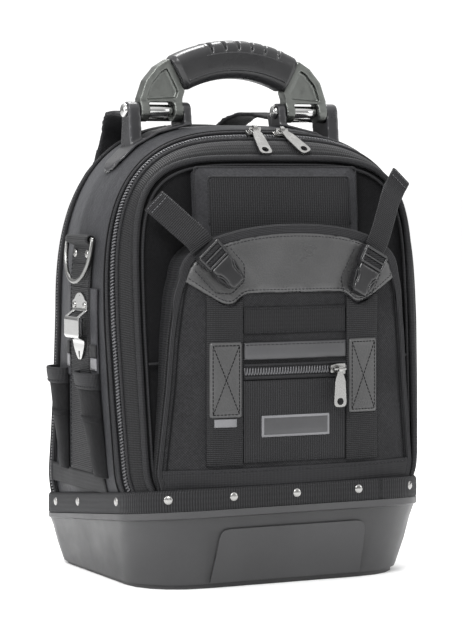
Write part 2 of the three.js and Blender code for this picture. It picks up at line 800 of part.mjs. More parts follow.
// A sector of the grip's ring between two radii, with a rounded or square section.
function gripSector(inner, outer, depth, halfAngle, steps, sides) {
  const middle = (inner + outer) / 2;
  const section = Array.from({ length: sides }, (_, i) => {
    const a = ((i + 0.5) * 2 * Math.PI) / sides;
    const power = sides > 4 ? 0.62 : 0.0001;
    const shape = (v) => Math.sign(v) * Math.abs(v) ** power;
    return [(shape(Math.cos(a)) * (outer - inner)) / 2, (shape(Math.sin(a)) * depth) / 2];
  });
  const rings = Array.from({ length: steps + 1 }, (_, k) => {
    const a = mix(-halfAngle, halfAngle, k / steps) * degrees;
    return section.map(([r, y]) => {
      const radius = middle + r;
      return new THREE.Vector3(radius * Math.sin(a), y, gripCentre + radius * Math.cos(a));
    });
  });
  return skin(rings);
}

function makeArm() {
  const outline = armOutline();
  const sunk = inward(outline, armRim).filter(([, z]) => z > pinHeight + armRim);
  const half = armThickness / 2;
  const outer = barrelOuter + knuckleWidth;
  const inner = barrelInner - knuckleWidth;
  const past = half + cutPast;
  const plate = prism(outline, "y", -half, half);
  const round = bar("x", -outer, -inner, knuckleRadius, 0, pinHeight);
  const reach = knuckleRadius + cutPast;
  const clear = pinHeight + barrelRadius + barrelClear;
  const saddle = block(-barrelOuter - gap, -barrelInner + gap, -reach, reach, pinHeight - reach, clear);
  const bore = bar("x", -outer - cutPast, -inner + cutPast, pinRadius + runningGap, 0, pinHeight);
  const sinks = join(prism(sunk, "y", -past, -half + armSink), prism(sunk, "y", half - armSink, past));
  return plate.subtract(sinks).add(round).subtract(saddle).subtract(bore);
}

function makeFrame() {
  const core = gripSector(coreInner, coreOuter, coreDepth, gripHalfAngle + coreRoot, 10, 4);
  const arm = makeArm();
  return join(core, arm, mirrorX(arm));
}

function makeGrip() {
  const grip = gripSector(gripInner, gripOuter, gripDepth, gripHalfAngle, 12, 16);
  const boreAngle = gripHalfAngle + 2 * coreRoot;
  const bore = gripSector(coreInner - gap, coreOuter + gap, coreDepth + 2 * gap, boreAngle, 10, 4);
  return grip.subtract(bore);
}

// A hollow barrel between the two knuckles of an arm.
function makeBarrel() {
  const sleeve = bar("x", -barrelOuter + gap / 2, -barrelInner - gap / 2, barrelRadius, 0, pinHeight);
  const ends = [-barrelOuter - cutPast, -barrelInner + cutPast];
  return sleeve.subtract(bar("x", ...ends, pinRadius + runningGap, 0, pinHeight));
}

// The ears' faces, from the middle line outwards.
const earFaces = {
  innerFar: barrelInner - knuckleWidth - runningGap - earInnerThickness,
  innerNear: barrelInner - knuckleWidth - runningGap,
  outerNear: barrelOuter + knuckleWidth + runningGap,
  outerFar: barrelOuter + knuckleWidth + runningGap + earThickness,
};

// Both ends of the cross rod in its posts, lengthened by a little.
const rodEnds = (more) => [-earFaces.outerNear - rodSink - more, -earFaces.innerNear + rodSink + more];

// A pin with a domed head on its -X end, given the ends of the two ears.
function makePin(from, to) {
  const shank = bar("x", from - gap, to, pinRadius, 0, pinHeight);
  const dome = [0, 30, 60, 90].map(
    (a) => new THREE.Vector2(boltRadius * Math.sin(a * degrees), boltHeight * Math.cos(a * degrees)),
  );
  const head = new THREE.LatheGeometry([new THREE.Vector2(0, 0), ...dome.reverse()], 16);
  head.rotateZ(Math.PI / 2).translate(from - gap, 0, pinHeight);
  return shank.add(toSolid(head));
}

// Height of the body's top over a place across the shoulders, at a place between front and back.
function shoulderTop(x, y = 0) {
  const points = arch(y).filter((p) => p.z >= bodyWaist - 1 && p.x <= 0);
  const i = points.findIndex((p) => p.x > -Math.abs(x) || p.x === 0);
  const a = points[i - 1];
  const b = points[i];
  return mix(a.z, b.z, (-Math.abs(x) - a.x) / (b.x - a.x));
}

function makeBracket(side) {
  const deep = saddleDepth / 2;
  const shell = (inset) => bodySolid(-deep, deep, inset);
  const inner = deep * saddleWaist;
  const cover = rounded([
    [-saddleOuter, -deep, deep * 0.8],
    [-earFaces.innerFar, -inner, saddleThickness],
    [-earFaces.innerFar, inner, saddleThickness],
    [-saddleOuter, deep, deep * 0.8],
  ]);
  const saddle = shell(-gap - saddleThickness).intersect(sided(prism(cover, "z", bodyWaist, far), side));
  const rootAt = (x) => shoulderTop(x) - saddleThickness;
  const ear = (from, to, spread, foot) => {
    const round = bar("x", -to, -from, earRadius, 0, pinHeight);
    const web = [[-earRadius, pinHeight], [-spread, foot], [spread, foot], [earRadius, pinHeight]];
    return join(round, prism(web, "x", -to, -from));
  };
  const ears = join(
    ear(earFaces.outerNear, earFaces.outerFar, deep * saddleWaist + 2, rootAt(earFaces.outerFar)),
    ear(earFaces.innerFar, earFaces.innerNear, deep * saddleWaist, rootAt(earFaces.innerNear)),
  );
  const post = (from, to) => {
    const top = rodHeight + rodRadius + rodWall;
    const root = rootAt(from);
    const web = [[rodY - rodPost, top], [0, root], [rodY, root], [rodY + rodRadius + rodWall, top]];
    return prism(web, "x", -to, -from);
  };
  const posts = join(
    post(earFaces.outerNear, earFaces.outerNear + rodSeat),
    post(earFaces.innerNear - rodSeat, earFaces.innerNear),
  );
  const [pinFrom, pinTo] = [-earFaces.outerFar - cutPast, -earFaces.innerFar + cutPast];
  const bores = join(
    bar("x", pinFrom, pinTo, pinRadius + gap, 0, pinHeight),
    bar("x", ...rodEnds(gap), rodRadius + gap, rodY, rodHeight, 12),
  );
  const body = bodySolid(-deep - 2 * cutPast, deep + 2 * cutPast, -gap);
  return saddle.add(sided(join(ears, posts), side)).subtract(body).subtract(sided(bores, side));
}

// The cross rod behind each barrel that a shoulder strap loops round.
const makeRod = () => bar("x", ...rodEnds(0), rodRadius, rodY, rodHeight, 12);

// Side of the body at a height, at a place between front and back.
function sideHalf(z, y = 0) {
  const points = arch(y).filter((p) => p.x > 0).reverse();
  const i = Math.max(1, points.findIndex((p) => p.z > z));
  const a = points[i - 1];
  const b = points[i];
  return mix(a.x, b.x, (z - a.z) / (b.z - a.z));
}

const loopRadius = ringWire + runningGap + loopWall;
const ringFront = sideWebbingY - ringBarHalf; // the body is widest at this end of the ring
const ringBarX = -(sideHalf(ringBarHeight, ringFront) + gap + loopRadius);

function makeSideWebbing(side) {
  const near = sideWebbingY - sideWebbingWidth / 2;
  const rear = sideWebbingY + sideWebbingWidth / 2;
  const foot = rimAt(0) + beltHeight + sideBand;
  const inner = bodySolid(near - cutPast, rear + cutPast, -gap);
  const outer = bodySolid(near, rear, -gap - webbingThickness);
  const reach = sided(block(-far, 0, -far, rear, foot, ringBarHeight), side);
  const loop = sided(bar("y", near, rear, loopRadius, ringBarX, ringBarHeight, 12), side);
  const wireRoom = ringWire + runningGap;
  const bore = sided(bar("y", near - cutPast, rear + cutPast, wireRoom, ringBarX, ringBarHeight, 12), side);
  return outer.subtract(inner).intersect(reach).add(loop).subtract(inner).subtract(bore);
}

const ringLean = () => {
  const cloth = sideHalf(ringBarHeight - ringDrop, ringFront) + gap + webbingThickness;
  const low = cloth + gap + ringWire + ringRest;
  return Math.asin((low + ringBarX) / ringDrop);
};

// A wire ring with a straight bar on top and a round drop.
function makeRing() {
  const half = ringBarHalf;
  const points = [];
  const steps = 14;
  for (let i = 0; i <= steps; i++) {
    const a = (i * Math.PI) / steps;
    points.push([half * Math.cos(a), -ringDrop * Math.sin(a) ** 0.8]);
  }
  const lean = ringLean();
  const place = ([y, z]) =>
    new THREE.Vector3(ringBarX + z * Math.sin(lean), sideWebbingY + y, ringBarHeight + z * Math.cos(lean));
  const centre = points.map(place);
  const out = new THREE.Vector3(Math.cos(lean), 0, -Math.sin(lean));
  const rings = centre.map((p, i) => {
    const before = centre[(i + centre.length - 1) % centre.length];
    const after = centre[(i + 1) % centre.length];
    const one = p.clone().sub(before).normalize();
    const two = after.clone().sub(p).normalize();
    const along = one.clone().add(two).normalize();
    const side = along.clone().cross(out).normalize();
    const stretch = 1 / Math.max(0.6, along.dot(one));
    return Array.from({ length: 8 }, (_, k) => {
      const a = (k * Math.PI) / 4;
      return p
        .clone()
        .addScaledVector(out, ringWire * Math.cos(a))
        .addScaledVector(side, ringWire * Math.sin(a) * stretch);
    });
  });
  return skin(rings, true);
}

// A bent metal clip on the side webbing: two plates on the webbing and a raised square between them.
const clipSections = [
  { up: 1, half: 0.1, out: 0 },
  { up: 0.89, half: 1, out: 0 },
  { up: 0.74, half: 1, out: 0 },
  { up: 0.6, half: 0.9, out: 1 },
  { up: 0.34, half: 0.9, out: 1 },
  { up: 0.26, half: 0.8, out: 0.15 },
  { up: 0.11, half: 0.62, out: 0.1 },
  { up: 0, half: 0.2, out: 0 },
];

function makeClip() {
  const onBody = sideHalf(bodyWaist, clipY) + gap + webbingThickness + 2 * gap;
  const rings = clipSections.map(({ up, half, out }) => {
    const x = -(onBody + out * clipStand);
    const w = (half * clipWidth) / 2;
    const corners = [[x, -w], [x - clipThickness, -w], [x - clipThickness, w], [x, w]];
    const z = ringBarHeight - clipDrop - (1 - up) * clipLength;
    return corners.map(([a, b]) => new THREE.Vector3(a, clipY + b, z));
  });
  return skin(rings);
}

// Tool sleeves on each side: the places of their two seams at the top and at the foot,
// and how far they stand out.
const sleeves = {
  front: { topSeams: [-50, 0], footSeams: [-58, -32], topBulge: 13, footBulge: 5 },
  rear: { topSeams: [38, 82], footSeams: [34, 60], topBulge: 17, footBulge: 5 },
};

function makeSleeve({ topSeams, footSeams, topBulge, footBulge }, side) {
  const ring = (z, [front, back], bulge, inset) => {
    const steps = 8;
    return Array.from({ length: steps + 1 }, (_, i) => {
      const a = (i * Math.PI) / steps;
      const y = mix((front + back) / 2, back - inset, -Math.cos(a));
      const seam = i === 0 || i === steps;
      const out = seam ? -seamSink - inset : Math.max(gap, (bulge - inset) * Math.sin(a) ** 0.7);
      return new THREE.Vector3(-sideHalf(z, y) - out, y, z);
    });
  };
  const level = (t, inset) => {
    const seams = topSeams.map((y, i) => mix(footSeams[i], y, t));
    return ring(mix(sleeveFoot, sleeveTop, t), seams, mix(footBulge, topBulge, t ** 0.8), inset);
  };
  const outer = skin([0, 0.33, 0.66, 1].map((t) => level(t, 0)));
  const inner = skin([0.12, 0.4, 0.7, 1.05].map((t) => level(t, sleeveWall)));
  const seams = [...topSeams, ...footSeams];
  const body = bodySolid(Math.min(...seams) - cutPast, Math.max(...seams) + 2 * seamSink + cutPast * 4, -gap);
  const edge = sideWebbingWidth / 2 + gap;
  const strap = bodySolid(sideWebbingY - edge, sideWebbingY + edge, -gap - webbingThickness - gap);
  return sided(outer.subtract(inner), side).subtract(body).subtract(strap);
}

// A zip slider with a bridge, drawn with its base at the origin.
// Its length lies along X and its bridge stands towards -Y.
function sliderShape() {
  const [nose, half] = [sliderWidth * 0.35, sliderWidth / 2];
  const right = [[sliderLength / 2, half], [0, half], [-sliderLength / 2, nose]];
  const left = right.map(([x, z]) => [x, -z]).reverse();
  const body = prism([...right, ...left], "y", -sliderBase, 0);
  const past = bridgeHalf + bridgeWire;
  const leg = (x) =>
    block(x - bridgeWire, x + bridgeWire, -bridgeAxis, -sliderBase / 2, -bridgeWire, bridgeWire);
  return join(body, leg(-bridgeHalf), leg(bridgeHalf), bar("x", -past, past, bridgeWire, -bridgeAxis, 0, 8));
}

// A flat pull with a round hole at its foot, hanging from a ring round the X axis at the origin.
function pullShape(swing) {
  const eye = bridgeWire + runningGap + pullEyeWire;
  const right = [
    [eyeWidth / 2, -eye / 2, 0],
    [pullWidth * 0.4, -pullLength * 0.3, 2],
    [pullWidth / 2, -pullLength, 5],
  ];
  const left = right.map(([x, z, round]) => [-x, z, round]).reverse();
  const holeSteps = 10;
  const hole = Array.from({ length: holeSteps }, (_, i) => {
    const a = (i * 2 * Math.PI) / holeSteps;
    return new THREE.Vector2(pullHole * Math.cos(a), pullHole * (Math.sin(a) + 1.5) - pullLength);
  });
  const half = pullThickness / 2;
  const plate = prism(rounded([...right, ...left]), "y", -half, half, [new THREE.Path(hole)]);
  const ring = bar("x", -eyeWidth / 2, eyeWidth / 2, eye, 0, 0, 12);
  const bore = bar("x", -eyeWidth, eyeWidth, bridgeWire + runningGap, 0, 0, 12);
  return toSolid(toGeometry(plate).rotateY(-swing * degrees)).add(ring).subtract(bore);
}

// Puts a drawn solid in place: tilted about X, then moved.
const place = (solid, tilt, x, y, z) => toSolid(toGeometry(solid).rotateX(tilt * degrees).translate(x, y, z));

function makeBack() {
  const outline = rounded([
    [-backHalf, backFoot, backCorner],
    [backHalf, backFoot, backCorner],
    [backHalf, backTop, backShoulder],
    [-backHalf, backTop, backShoulder],
  ]);
  return prism(outline, "y", bodyRear + gap, bodyRear + gap + backThickness);
}

// The left shoulder strap, from the rod in the bracket over the top and down the back.
// pad runs from the root's webbing (0) to the full padded strap (1).
const strapRoute = [
  { x: barrelInner + 14, y: rodY + 6.2, z: rodHeight, pad: 0 },
  { x: 81, y: 70, z: 460, pad: 0 },
  { x: 74, y: 116, z: 463, pad: 0.1 },
  { x: 62, y: 150, z: 442, pad: 0.25 },
  { x: 57, y: 164, z: 392, pad: 1 },
  { x: 63, y: 168, z: 330, pad: 1 },
  { x: 76, y: 166, z: 262, pad: 1 },
  { x: 93, y: 158, z: 202, pad: 0 },
  { x: 97, y: 153, z: 150, pad: 0 },
  { x: 95, y: 151.8, z: 108, pad: 0 },
];

function makeShoulderStrap() {
  const points = strapRoute.map(({ x, y, z }) => new THREE.Vector3(-x, y, z));
  const curve = new THREE.CatmullRomCurve3(points);
  const steps = strapSteps * (points.length - 1);
  const places = Array.from({ length: steps + 1 }, (_, i) => i / steps);
  const pads = places.map((t) => {
    const at = t * (points.length - 1);
    const i = Math.min(points.length - 2, Math.floor(at));
    return mix(strapRoute[i].pad, strapRoute[i + 1].pad, at - i);
  });
  const widths = pads.map((pad) => mix(rootWidth, shoulderWidth, pad));
  const thicknesses = pads.map((pad) => mix(rootThickness, shoulderThickness, pad));
  return ribbon(places.map((t) => curve.getPoint(t)), new THREE.Vector3(1, 0, 0), widths, thicknesses);
}

const looks = {
  rubber: { color: 0x3a3a3c, roughness: 0.75, metalness: 0 },
  nylon: { color: 0x1c1c1e, roughness: 0.9, metalness: 0 },
  webbing: { color: 0x262628, roughness: 0.9, metalness: 0 },
  leather: { color: 0x48484a, roughness: 0.6, metalness: 0 },
  plastic: { color: 0x222224, roughness: 0.5, metalness: 0 },
  aluminium: { color: 0x59605e, roughness: 0.4, metalness: 1 },
  steel: { color: 0xd0d0d2, roughness: 0.2, metalness: 1 },
  zip: { color: 0x6a6a70, roughness: 0.5, metalness: 0.4 },
  label: { color: 0xb0b0b2, roughness: 0.6, metalness: 0 },
};

const group = new THREE.Group();

function add(name, solid, look) {
  const mesh = new THREE.Mesh(toGeometry(solid), new THREE.MeshStandardMaterial(looks[look]));
  mesh.name = name;
  group.add(mesh);
}

add("base_tub", makeTub(), "rubber");
add("base_belt", makeBelt(), "webbing");
add("front_bay", makeFrontBay(), "nylon");
add("front_zip", makeBodyRing(frontZipY, centreFront, 1.5), "zip");
add("centre_frame", makeBodyRing(centreFront, centreRear), "nylon");
add("rear_zip", makeBodyRing(centreRear, rearBayFront, 1.5), "zip");
add("rear_bay", makeRearBay(), "nylon");
add("front_pocket", makeFrontPocket(), "nylon");
add("top_patch", makePatch(), "leather");
add("meter_box", makeBox(), "nylon");

const onWebbing = gap + webbingThickness + gap;
const between = webbingInner - gap;
const flap = panel(-between, between, flapFoot, flapTop);
const tape = panel(-between, between, zipTapeFoot, zipTapeTop);
const tag = panel(-labelHalf, labelHalf, labelFoot, labelTop, 1.5);
add("zip_flap", pocketLayer(flap, gap, flapThickness), "leather");
add("pocket_zip", pocketLayer(tape, gap, zipTapeThickness), "zip");
add("label", pocketLayer(tag, gap, labelThickness), "label");

const pocketSliderY = pocketFaceAt(pocketSliderX) - 3 * gap - zipTapeThickness;
const pocketPullY = pocketSliderY - bridgeAxis;
add("pocket_slider", place(sliderShape(), 0, pocketSliderX, pocketSliderY, pocketSliderZ), "steel");
add("pocket_pull", place(pullShape(0), 0, pocketSliderX, pocketPullY, pocketSliderZ), "steel");

add("handle_frame", makeFrame(), "aluminium");
add("handle_grip", makeGrip(), "rubber");

const zipPlaces = {
  left: { x: -8, swing: 0 },
  right: { x: 22, swing: 26 },
};
const sliderTilt = -65; // from standing upright on a wall to lying on the sloping top
const pullTilt = -47;
const rivets = {
  front_1: { x: cornerRivetInset - tubHalf, y: tubFront + cornerRivetBack, facing: -34 },
  front_2: { x: -68, y: tubFront, facing: 0 },
  front_3: { x: 0, y: tubFront, facing: 0 },
  front_4: { x: 68, y: tubFront, facing: 0 },
  front_5: { x: tubHalf - cornerRivetInset, y: tubFront + cornerRivetBack, facing: 34 },
};
const sideRivets = [-76, 21, 80];

for (const [name, spot] of Object.entries(rivets)) add("rivet_" + name, makeRivet(spot), "steel");

for (const [name, side] of [["left", -1], ["right", 1]]) {
  add("front_webbing_" + name, sided(makeFrontWebbing(), side), "webbing");
  const stitched = panel(-strapPatchOuter, -strapPatchInner, strapPatchFoot, strapPatchTop, 2);
  add("strap_patch_" + name, sided(pocketLayer(stitched, onWebbing, patchThickness), side), "leather");
  add("buckle_" + name, makeBuckle(bucklePlaces[name]), "plastic");
  add("buckle_strap_" + name, makeTail(tailRoutes[name], bucklePlaces[name]), "webbing");
  add("bracket_" + name, makeBracket(side), "plastic");
  const ends = side < 0 ? [-earFaces.outerFar, -earFaces.innerFar] : [earFaces.innerFar, earFaces.outerFar];
  add("hinge_pin_" + name, makePin(...ends), "steel");
  add("barrel_" + name, sided(makeBarrel(), side), "steel");
  add("strap_rod_" + name, sided(makeRod(), side), "steel");
  add("side_webbing_" + name, makeSideWebbing(side), "webbing");
  add("d_ring_" + name, sided(makeRing(), side), "steel");
  add("sleeve_front_" + name, makeSleeve(sleeves.front, side), "nylon");
  add("sleeve_rear_" + name, makeSleeve(sleeves.rear, side), "nylon");
  add("shoulder_strap_" + name, sided(makeShoulderStrap(), side), "nylon");
  sideRivets.forEach((y, i) =>
    add(`rivet_${name}_${i + 1}`, sided(makeRivet({ x: -tubHalf, y, facing: -90 }), side), "steel"),
  );
  const { x, swing } = zipPlaces[name];
  const sliderY = frontZipY + zipWidth / 2;
  const sliderZ = shoulderTop(x + sliderLength / 2, sliderY) + gap;
  const rise = bridgeAxis * Math.sin(-sliderTilt * degrees);
  const reach = bridgeAxis * Math.cos(sliderTilt * degrees);
  add("zip_slider_" + name, place(sliderShape(), sliderTilt, x, sliderY, sliderZ), "steel");
  add("zip_pull_" + name, place(pullShape(swing), pullTilt, x, sliderY - reach, sliderZ + rise), "steel");
}
add("tape_clip", makeClip(), "steel");
add("back_panel", makeBack(), "nylon");

export default group;
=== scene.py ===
import math

import bmesh
import bpy
import numpy as np
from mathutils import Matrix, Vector, noise
from mathutils.bvhtree import BVHTree
from mathutils.geometry import delaunay_2d_cdt


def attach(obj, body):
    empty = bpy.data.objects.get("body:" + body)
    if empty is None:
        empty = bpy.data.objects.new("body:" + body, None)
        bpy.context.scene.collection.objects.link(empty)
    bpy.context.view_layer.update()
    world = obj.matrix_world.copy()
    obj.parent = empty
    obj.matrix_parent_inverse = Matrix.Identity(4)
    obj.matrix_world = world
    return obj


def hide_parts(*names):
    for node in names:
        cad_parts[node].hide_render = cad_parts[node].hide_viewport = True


# Looks of a tool backpack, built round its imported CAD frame. Shapes are given in millimetres.
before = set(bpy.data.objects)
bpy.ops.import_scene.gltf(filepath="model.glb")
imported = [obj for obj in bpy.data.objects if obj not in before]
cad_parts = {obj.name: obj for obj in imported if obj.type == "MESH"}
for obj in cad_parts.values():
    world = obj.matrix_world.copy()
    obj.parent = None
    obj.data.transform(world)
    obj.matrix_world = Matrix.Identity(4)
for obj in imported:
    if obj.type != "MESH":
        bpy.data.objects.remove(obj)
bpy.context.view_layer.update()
MM = 0.001
TINY = 1e-9
FORWARD, BACKWARD, UP = (0, -1, 0), (0, 1, 0), (0, 0, 1)
SIDES = (("left", -1), ("right", 1))


# ---------------------------------------------------------------- materials
class Shader:
    """Builds one node material. Object coordinates count in metres, UV coordinates in millimetres."""

    def __init__(self, name, color, rough, metal=0.0, sheen=0.0, spec=0.5):
        self.mat = bpy.data.materials.new(name)
        self.mat.use_nodes = True
        self.tree = self.mat.node_tree
        self.bsdf = self.tree.nodes["Principled BSDF"]
        self.color = (*color, 1)
        put = self.bsdf.inputs
        put["Base Color"].default_value = self.color
        put["Roughness"].default_value = rough
        put["Metallic"].default_value = metal
        put["Specular IOR Level"].default_value = spec
        if sheen:
            put["Sheen Weight"].default_value = sheen
            put["Sheen Roughness"].default_value = 0.45
            put["Sheen Tint"].default_value = (0.8, 0.82, 0.86, 1)
        self.coord = self.node("ShaderNodeTexCoord")
        self.height = None

    def node(self, kind, **props):
        made = self.tree.nodes.new(kind)
        for key, value in props.items():
            setattr(made, key, value)
        return made

    def link(self, a, b):
        self.tree.links.new(a, b)

    def math(self, op, a, b=None):
        made = self.node("ShaderNodeMath", operation=op)
        for i, value in enumerate([a, b]):
            if value is None:
                continue
            if isinstance(value, (int, float)):
                made.inputs[i].default_value = value
            else:
                self.link(value, made.inputs[i])
        return made.outputs[0]

    def noise(self, scale, detail=3.0, rough=0.55):
        made = self.node("ShaderNodeTexNoise")
        self.link(self.coord.outputs["Object"], made.inputs["Vector"])
        made.inputs["Scale"].default_value = scale
        made.inputs["Detail"].default_value = detail
        made.inputs["Roughness"].default_value = rough
        return made.outputs["Fac"]

    def cells(self, scale):
        made = self.node("ShaderNodeTexVoronoi")
        self.link(self.coord.outputs["Object"], made.inputs["Vector"])
        made.inputs["Scale"].default_value = scale
        return made.outputs["Distance"]

    def ramp(self, fac, low, high, a=0.3, b=0.7):
        """Runs from low to high while the mask runs from a to b."""
        made = self.node("ShaderNodeMapRange")
        self.link(fac, made.inputs[0])
        for i, value in enumerate([a, b, low, high]):
            made.inputs[1 + i].default_value = value
        return made.outputs[0]

    def xyz(self, which):
        made = self.node("ShaderNodeSeparateXYZ")
        self.link(self.coord.outputs[which], made.inputs[0])
        return made.outputs

    def weave(self, pitch):
        """A plain weave on the two object axes that a surface faces least."""
        x, y, z = self.xyz("Object")
        waves = [self.math("SINE", self.math("MULTIPLY", v, 1000 * math.pi / pitch)) for v in (x, y, z)]
        geometry = self.node("ShaderNodeNewGeometry")
        split = self.node("ShaderNodeSeparateXYZ")
        self.link(geometry.outputs["Normal"], split.inputs[0])
        total = None
        for i, pair in enumerate([(1, 2), (0, 2), (0, 1)]):
            share = self.math("POWER", self.math("ABSOLUTE", split.outputs[i]), 4.0)
            knot = self.math("MULTIPLY", waves[pair[0]], waves[pair[1]])
            part = self.math("MULTIPLY", share, knot)
            total = part if total is None else self.math("ADD", total, part)
        return self.math("ADD", self.math("MULTIPLY", total, 0.5), 0.5)

    def ribs(self, axis, pitch):
        """Ribs across one UV direction: 0 is the groove and 1 the crest."""
        wave = self.math("SINE", self.math("MULTIPLY", self.xyz("UV")[axis], 2 * math.pi / pitch))
        return self.math("ADD", self.math("MULTIPLY", wave, 0.5), 0.5)

    def tint(self, fac, low, high):
        """Multiplies the base colour by a factor that runs from low to high with the mask."""
        scale = self.ramp(fac, low, high, 0.0, 1.0)
        mix = self.node("ShaderNodeMix", data_type="RGBA", blend_type="MULTIPLY")
        mix.inputs[0].default_value = 1.0
        source = self.bsdf.inputs["Base Color"]
        if source.links:
            self.link(source.links[0].from_socket, mix.inputs[6])
        else:
            mix.inputs[6].default_value = self.color
        grey = self.node("ShaderNodeCombineColor")
        for i in range(3):
            self.link(scale, grey.inputs[i])
        self.link(grey.outputs[0], mix.inputs[7])
        self.link(mix.outputs[2], source)

    def vary_rough(self, fac, low, high):
        self.link(self.ramp(fac, low, high), self.bsdf.inputs["Roughness"])

    def bump(self, height, depth, strength=1.0):
        """Adds a height map, its depth in millimetres."""
        made = self.node("ShaderNodeBump")
        made.inputs["Strength"].default_value = strength
        made.inputs["Distance"].default_value = depth * MM
        self.link(height, made.inputs["Height"])
        if self.height is not None:
            self.link(self.height, made.inputs["Normal"])
        self.height = made.outputs["Normal"]
        self.link(self.height, self.bsdf.inputs["Normal"])

    def paint_edge_highlight(self, amount):
        """Edges are painted a little lighter: a painted highlight where rounded edges catch the light."""
        geometry = self.node("ShaderNodeNewGeometry")
        self.tint(self.ramp(geometry.outputs["Pointiness"], 0.0, 1.0, 0.5, 0.52), 1.0, amount)


def nylon_shader(name, color, pitch=1.1, rough=0.72, depth=0.2, sheen=0.03):
    s = Shader(name, color, rough, sheen=sheen, spec=0.1)
    weave = s.weave(pitch)
    s.tint(weave, 0.4, 1.6)
    s.tint(s.noise(420, 3, 0.7), 0.1, 1.9)
    s.tint(s.noise(14, 5, 0.65), 0.5, 1.5)
    s.bump(s.noise(45, 5), 1.4, 0.7)
    s.bump(s.noise(420, 2), 0.5, 0.8)
    s.bump(weave, depth)
    s.vary_rough(s.noise(30, 3), rough - 0.08, rough + 0.12)
    return s.mat


def webbing_shader(name, color, depth, along=1, pitch=1.9, cross=2.6):
    s = Shader(name, color, 0.62, sheen=0.03, spec=0.2)
    ribs = s.ribs(along, pitch)
    fine = s.ribs(1 - along, cross)
    s.tint(ribs, 0.3, 1.7)
    s.tint(fine, 0.86, 1.12)
    s.tint(s.noise(24, 4), 0.8, 1.22)
    s.bump(s.noise(90, 4), 0.25, 0.4)
    s.bump(ribs, depth)
    s.bump(fine, depth * 0.4)
    return s.mat


def moulded_shader(name, color, rough, depth, grain=1500, highlight=1.35, spec=0.45):
    s = Shader(name, color, rough, spec=spec)
    s.tint(s.noise(9, 5, 0.6), 0.55, 1.5)
    s.tint(s.noise(300, 3), 0.94, 1.07)
    # painted highlight along the convex edges
    s.paint_edge_highlight(highlight)
    s.bump(s.noise(14, 2), 0.5, 0.35)
    s.bump(s.noise(grain, 2), depth)
    s.vary_rough(s.noise(26, 4), rough - 0.07, rough + 0.09)
    return s.mat


def leather_shader(name, color, rough):
    s = Shader(name, color, rough, spec=0.5)
    s.tint(s.noise(11, 5, 0.6), 0.45, 1.6)
    cells = s.cells(620)
    s.tint(cells, 0.85, 1.15)
    # painted highlight along the convex edges
    s.paint_edge_highlight(1.25)
    s.bump(s.noise(35, 4), 0.5, 0.45)
    s.bump(cells, 0.12)
    s.vary_rough(s.noise(40, 4), rough - 0.1, rough + 0.12)
    return s.mat


def metal_shader(name, color, rough, scratch=0.05, blast=0.0):
    s = Shader(name, color, rough, metal=1.0)
    s.tint(s.noise(60, 4), 0.86, 1.1)
    s.vary_rough(s.noise(120, 5), rough * 0.75, rough * 1.35)
    s.bump(s.noise(2200 if blast else 500, 2), blast or scratch, 0.7)
    return s.mat


NYLON = nylon_shader("black_nylon", (0.0062, 0.0062, 0.0067))
# smooth, glossier nylon; its lighter grey colour is painted sheen on black nylon
NYLON_SMOOTH_SHEEN = nylon_shader(
    "smooth_nylon_painted_sheen", (0.02, 0.02, 0.022), pitch=0.8, rough=0.5, depth=0.06, sheen=0.08)
# the darkest nylon, also used as painted shade in the buckles' side windows
NYLON_DARK = nylon_shader("shadow_nylon", (0.004, 0.004, 0.0045), rough=0.8)
WEBBING = webbing_shader("ribbed_webbing", (0.011, 0.011, 0.0119), depth=0.45)
GROSGRAIN = webbing_shader(
    "grosgrain_band", (0.0075, 0.0075, 0.0082), along=0, pitch=2.3, depth=0.35, cross=4)
BELT = webbing_shader("belt_webbing", (0.0115, 0.0115, 0.0125), along=0, pitch=2.6, depth=0.5, cross=3.2)
BINDING = webbing_shader("binding_tape", (0.013, 0.013, 0.0142), along=0, pitch=1.5, depth=0.25, cross=2.2)
ZIP_TAPE = webbing_shader("zip_tape", (0.008, 0.008, 0.009), along=0, pitch=0.9, depth=0.12, cross=0.9)
MESH = webbing_shader("mesh_panel", (0.011, 0.011, 0.012), along=0, pitch=2.4, depth=0.4, cross=1.6)
# the coil is black nylon; its grey colour is painted highlight, the glints along the coil
COIL = moulded_shader("zip_coil", (0.062, 0.062, 0.066), 0.3, depth=0.01, highlight=1.2, spec=0.6)
LEATHER = leather_shader("dark_leather", (0.035, 0.035, 0.0355), 0.35)
GREY_CLOTH = moulded_shader("grey_cloth", (0.034, 0.034, 0.036), 0.42, grain=900, depth=0.05, highlight=1.1)
TAG = moulded_shader("grey_tag", (0.12, 0.12, 0.126), 0.5, grain=900, depth=0.05, highlight=1.1)
TUB = moulded_shader("tub_rubber", (0.024, 0.024, 0.025), 0.42, depth=0.05)
GRIP = moulded_shader("grip_rubber", (0.0115, 0.0115, 0.0122), 0.31, depth=0.03, highlight=1.8)
PLASTIC = moulded_shader("moulded_plastic", (0.018, 0.018, 0.0195), 0.3, depth=0.02, highlight=1.6)
BUCKLE = moulded_shader("buckle_plastic", (0.0095, 0.0095, 0.0102), 0.3, depth=0.01, highlight=1.2, spec=0.5)
ANODISED = metal_shader("anodised_frame", (0.15, 0.157, 0.148), 0.42, blast=0.03)
POCKET_CLOTH = nylon_shader("pocket_nylon", (0.0165, 0.0165, 0.0175), pitch=1.3, depth=0.3)
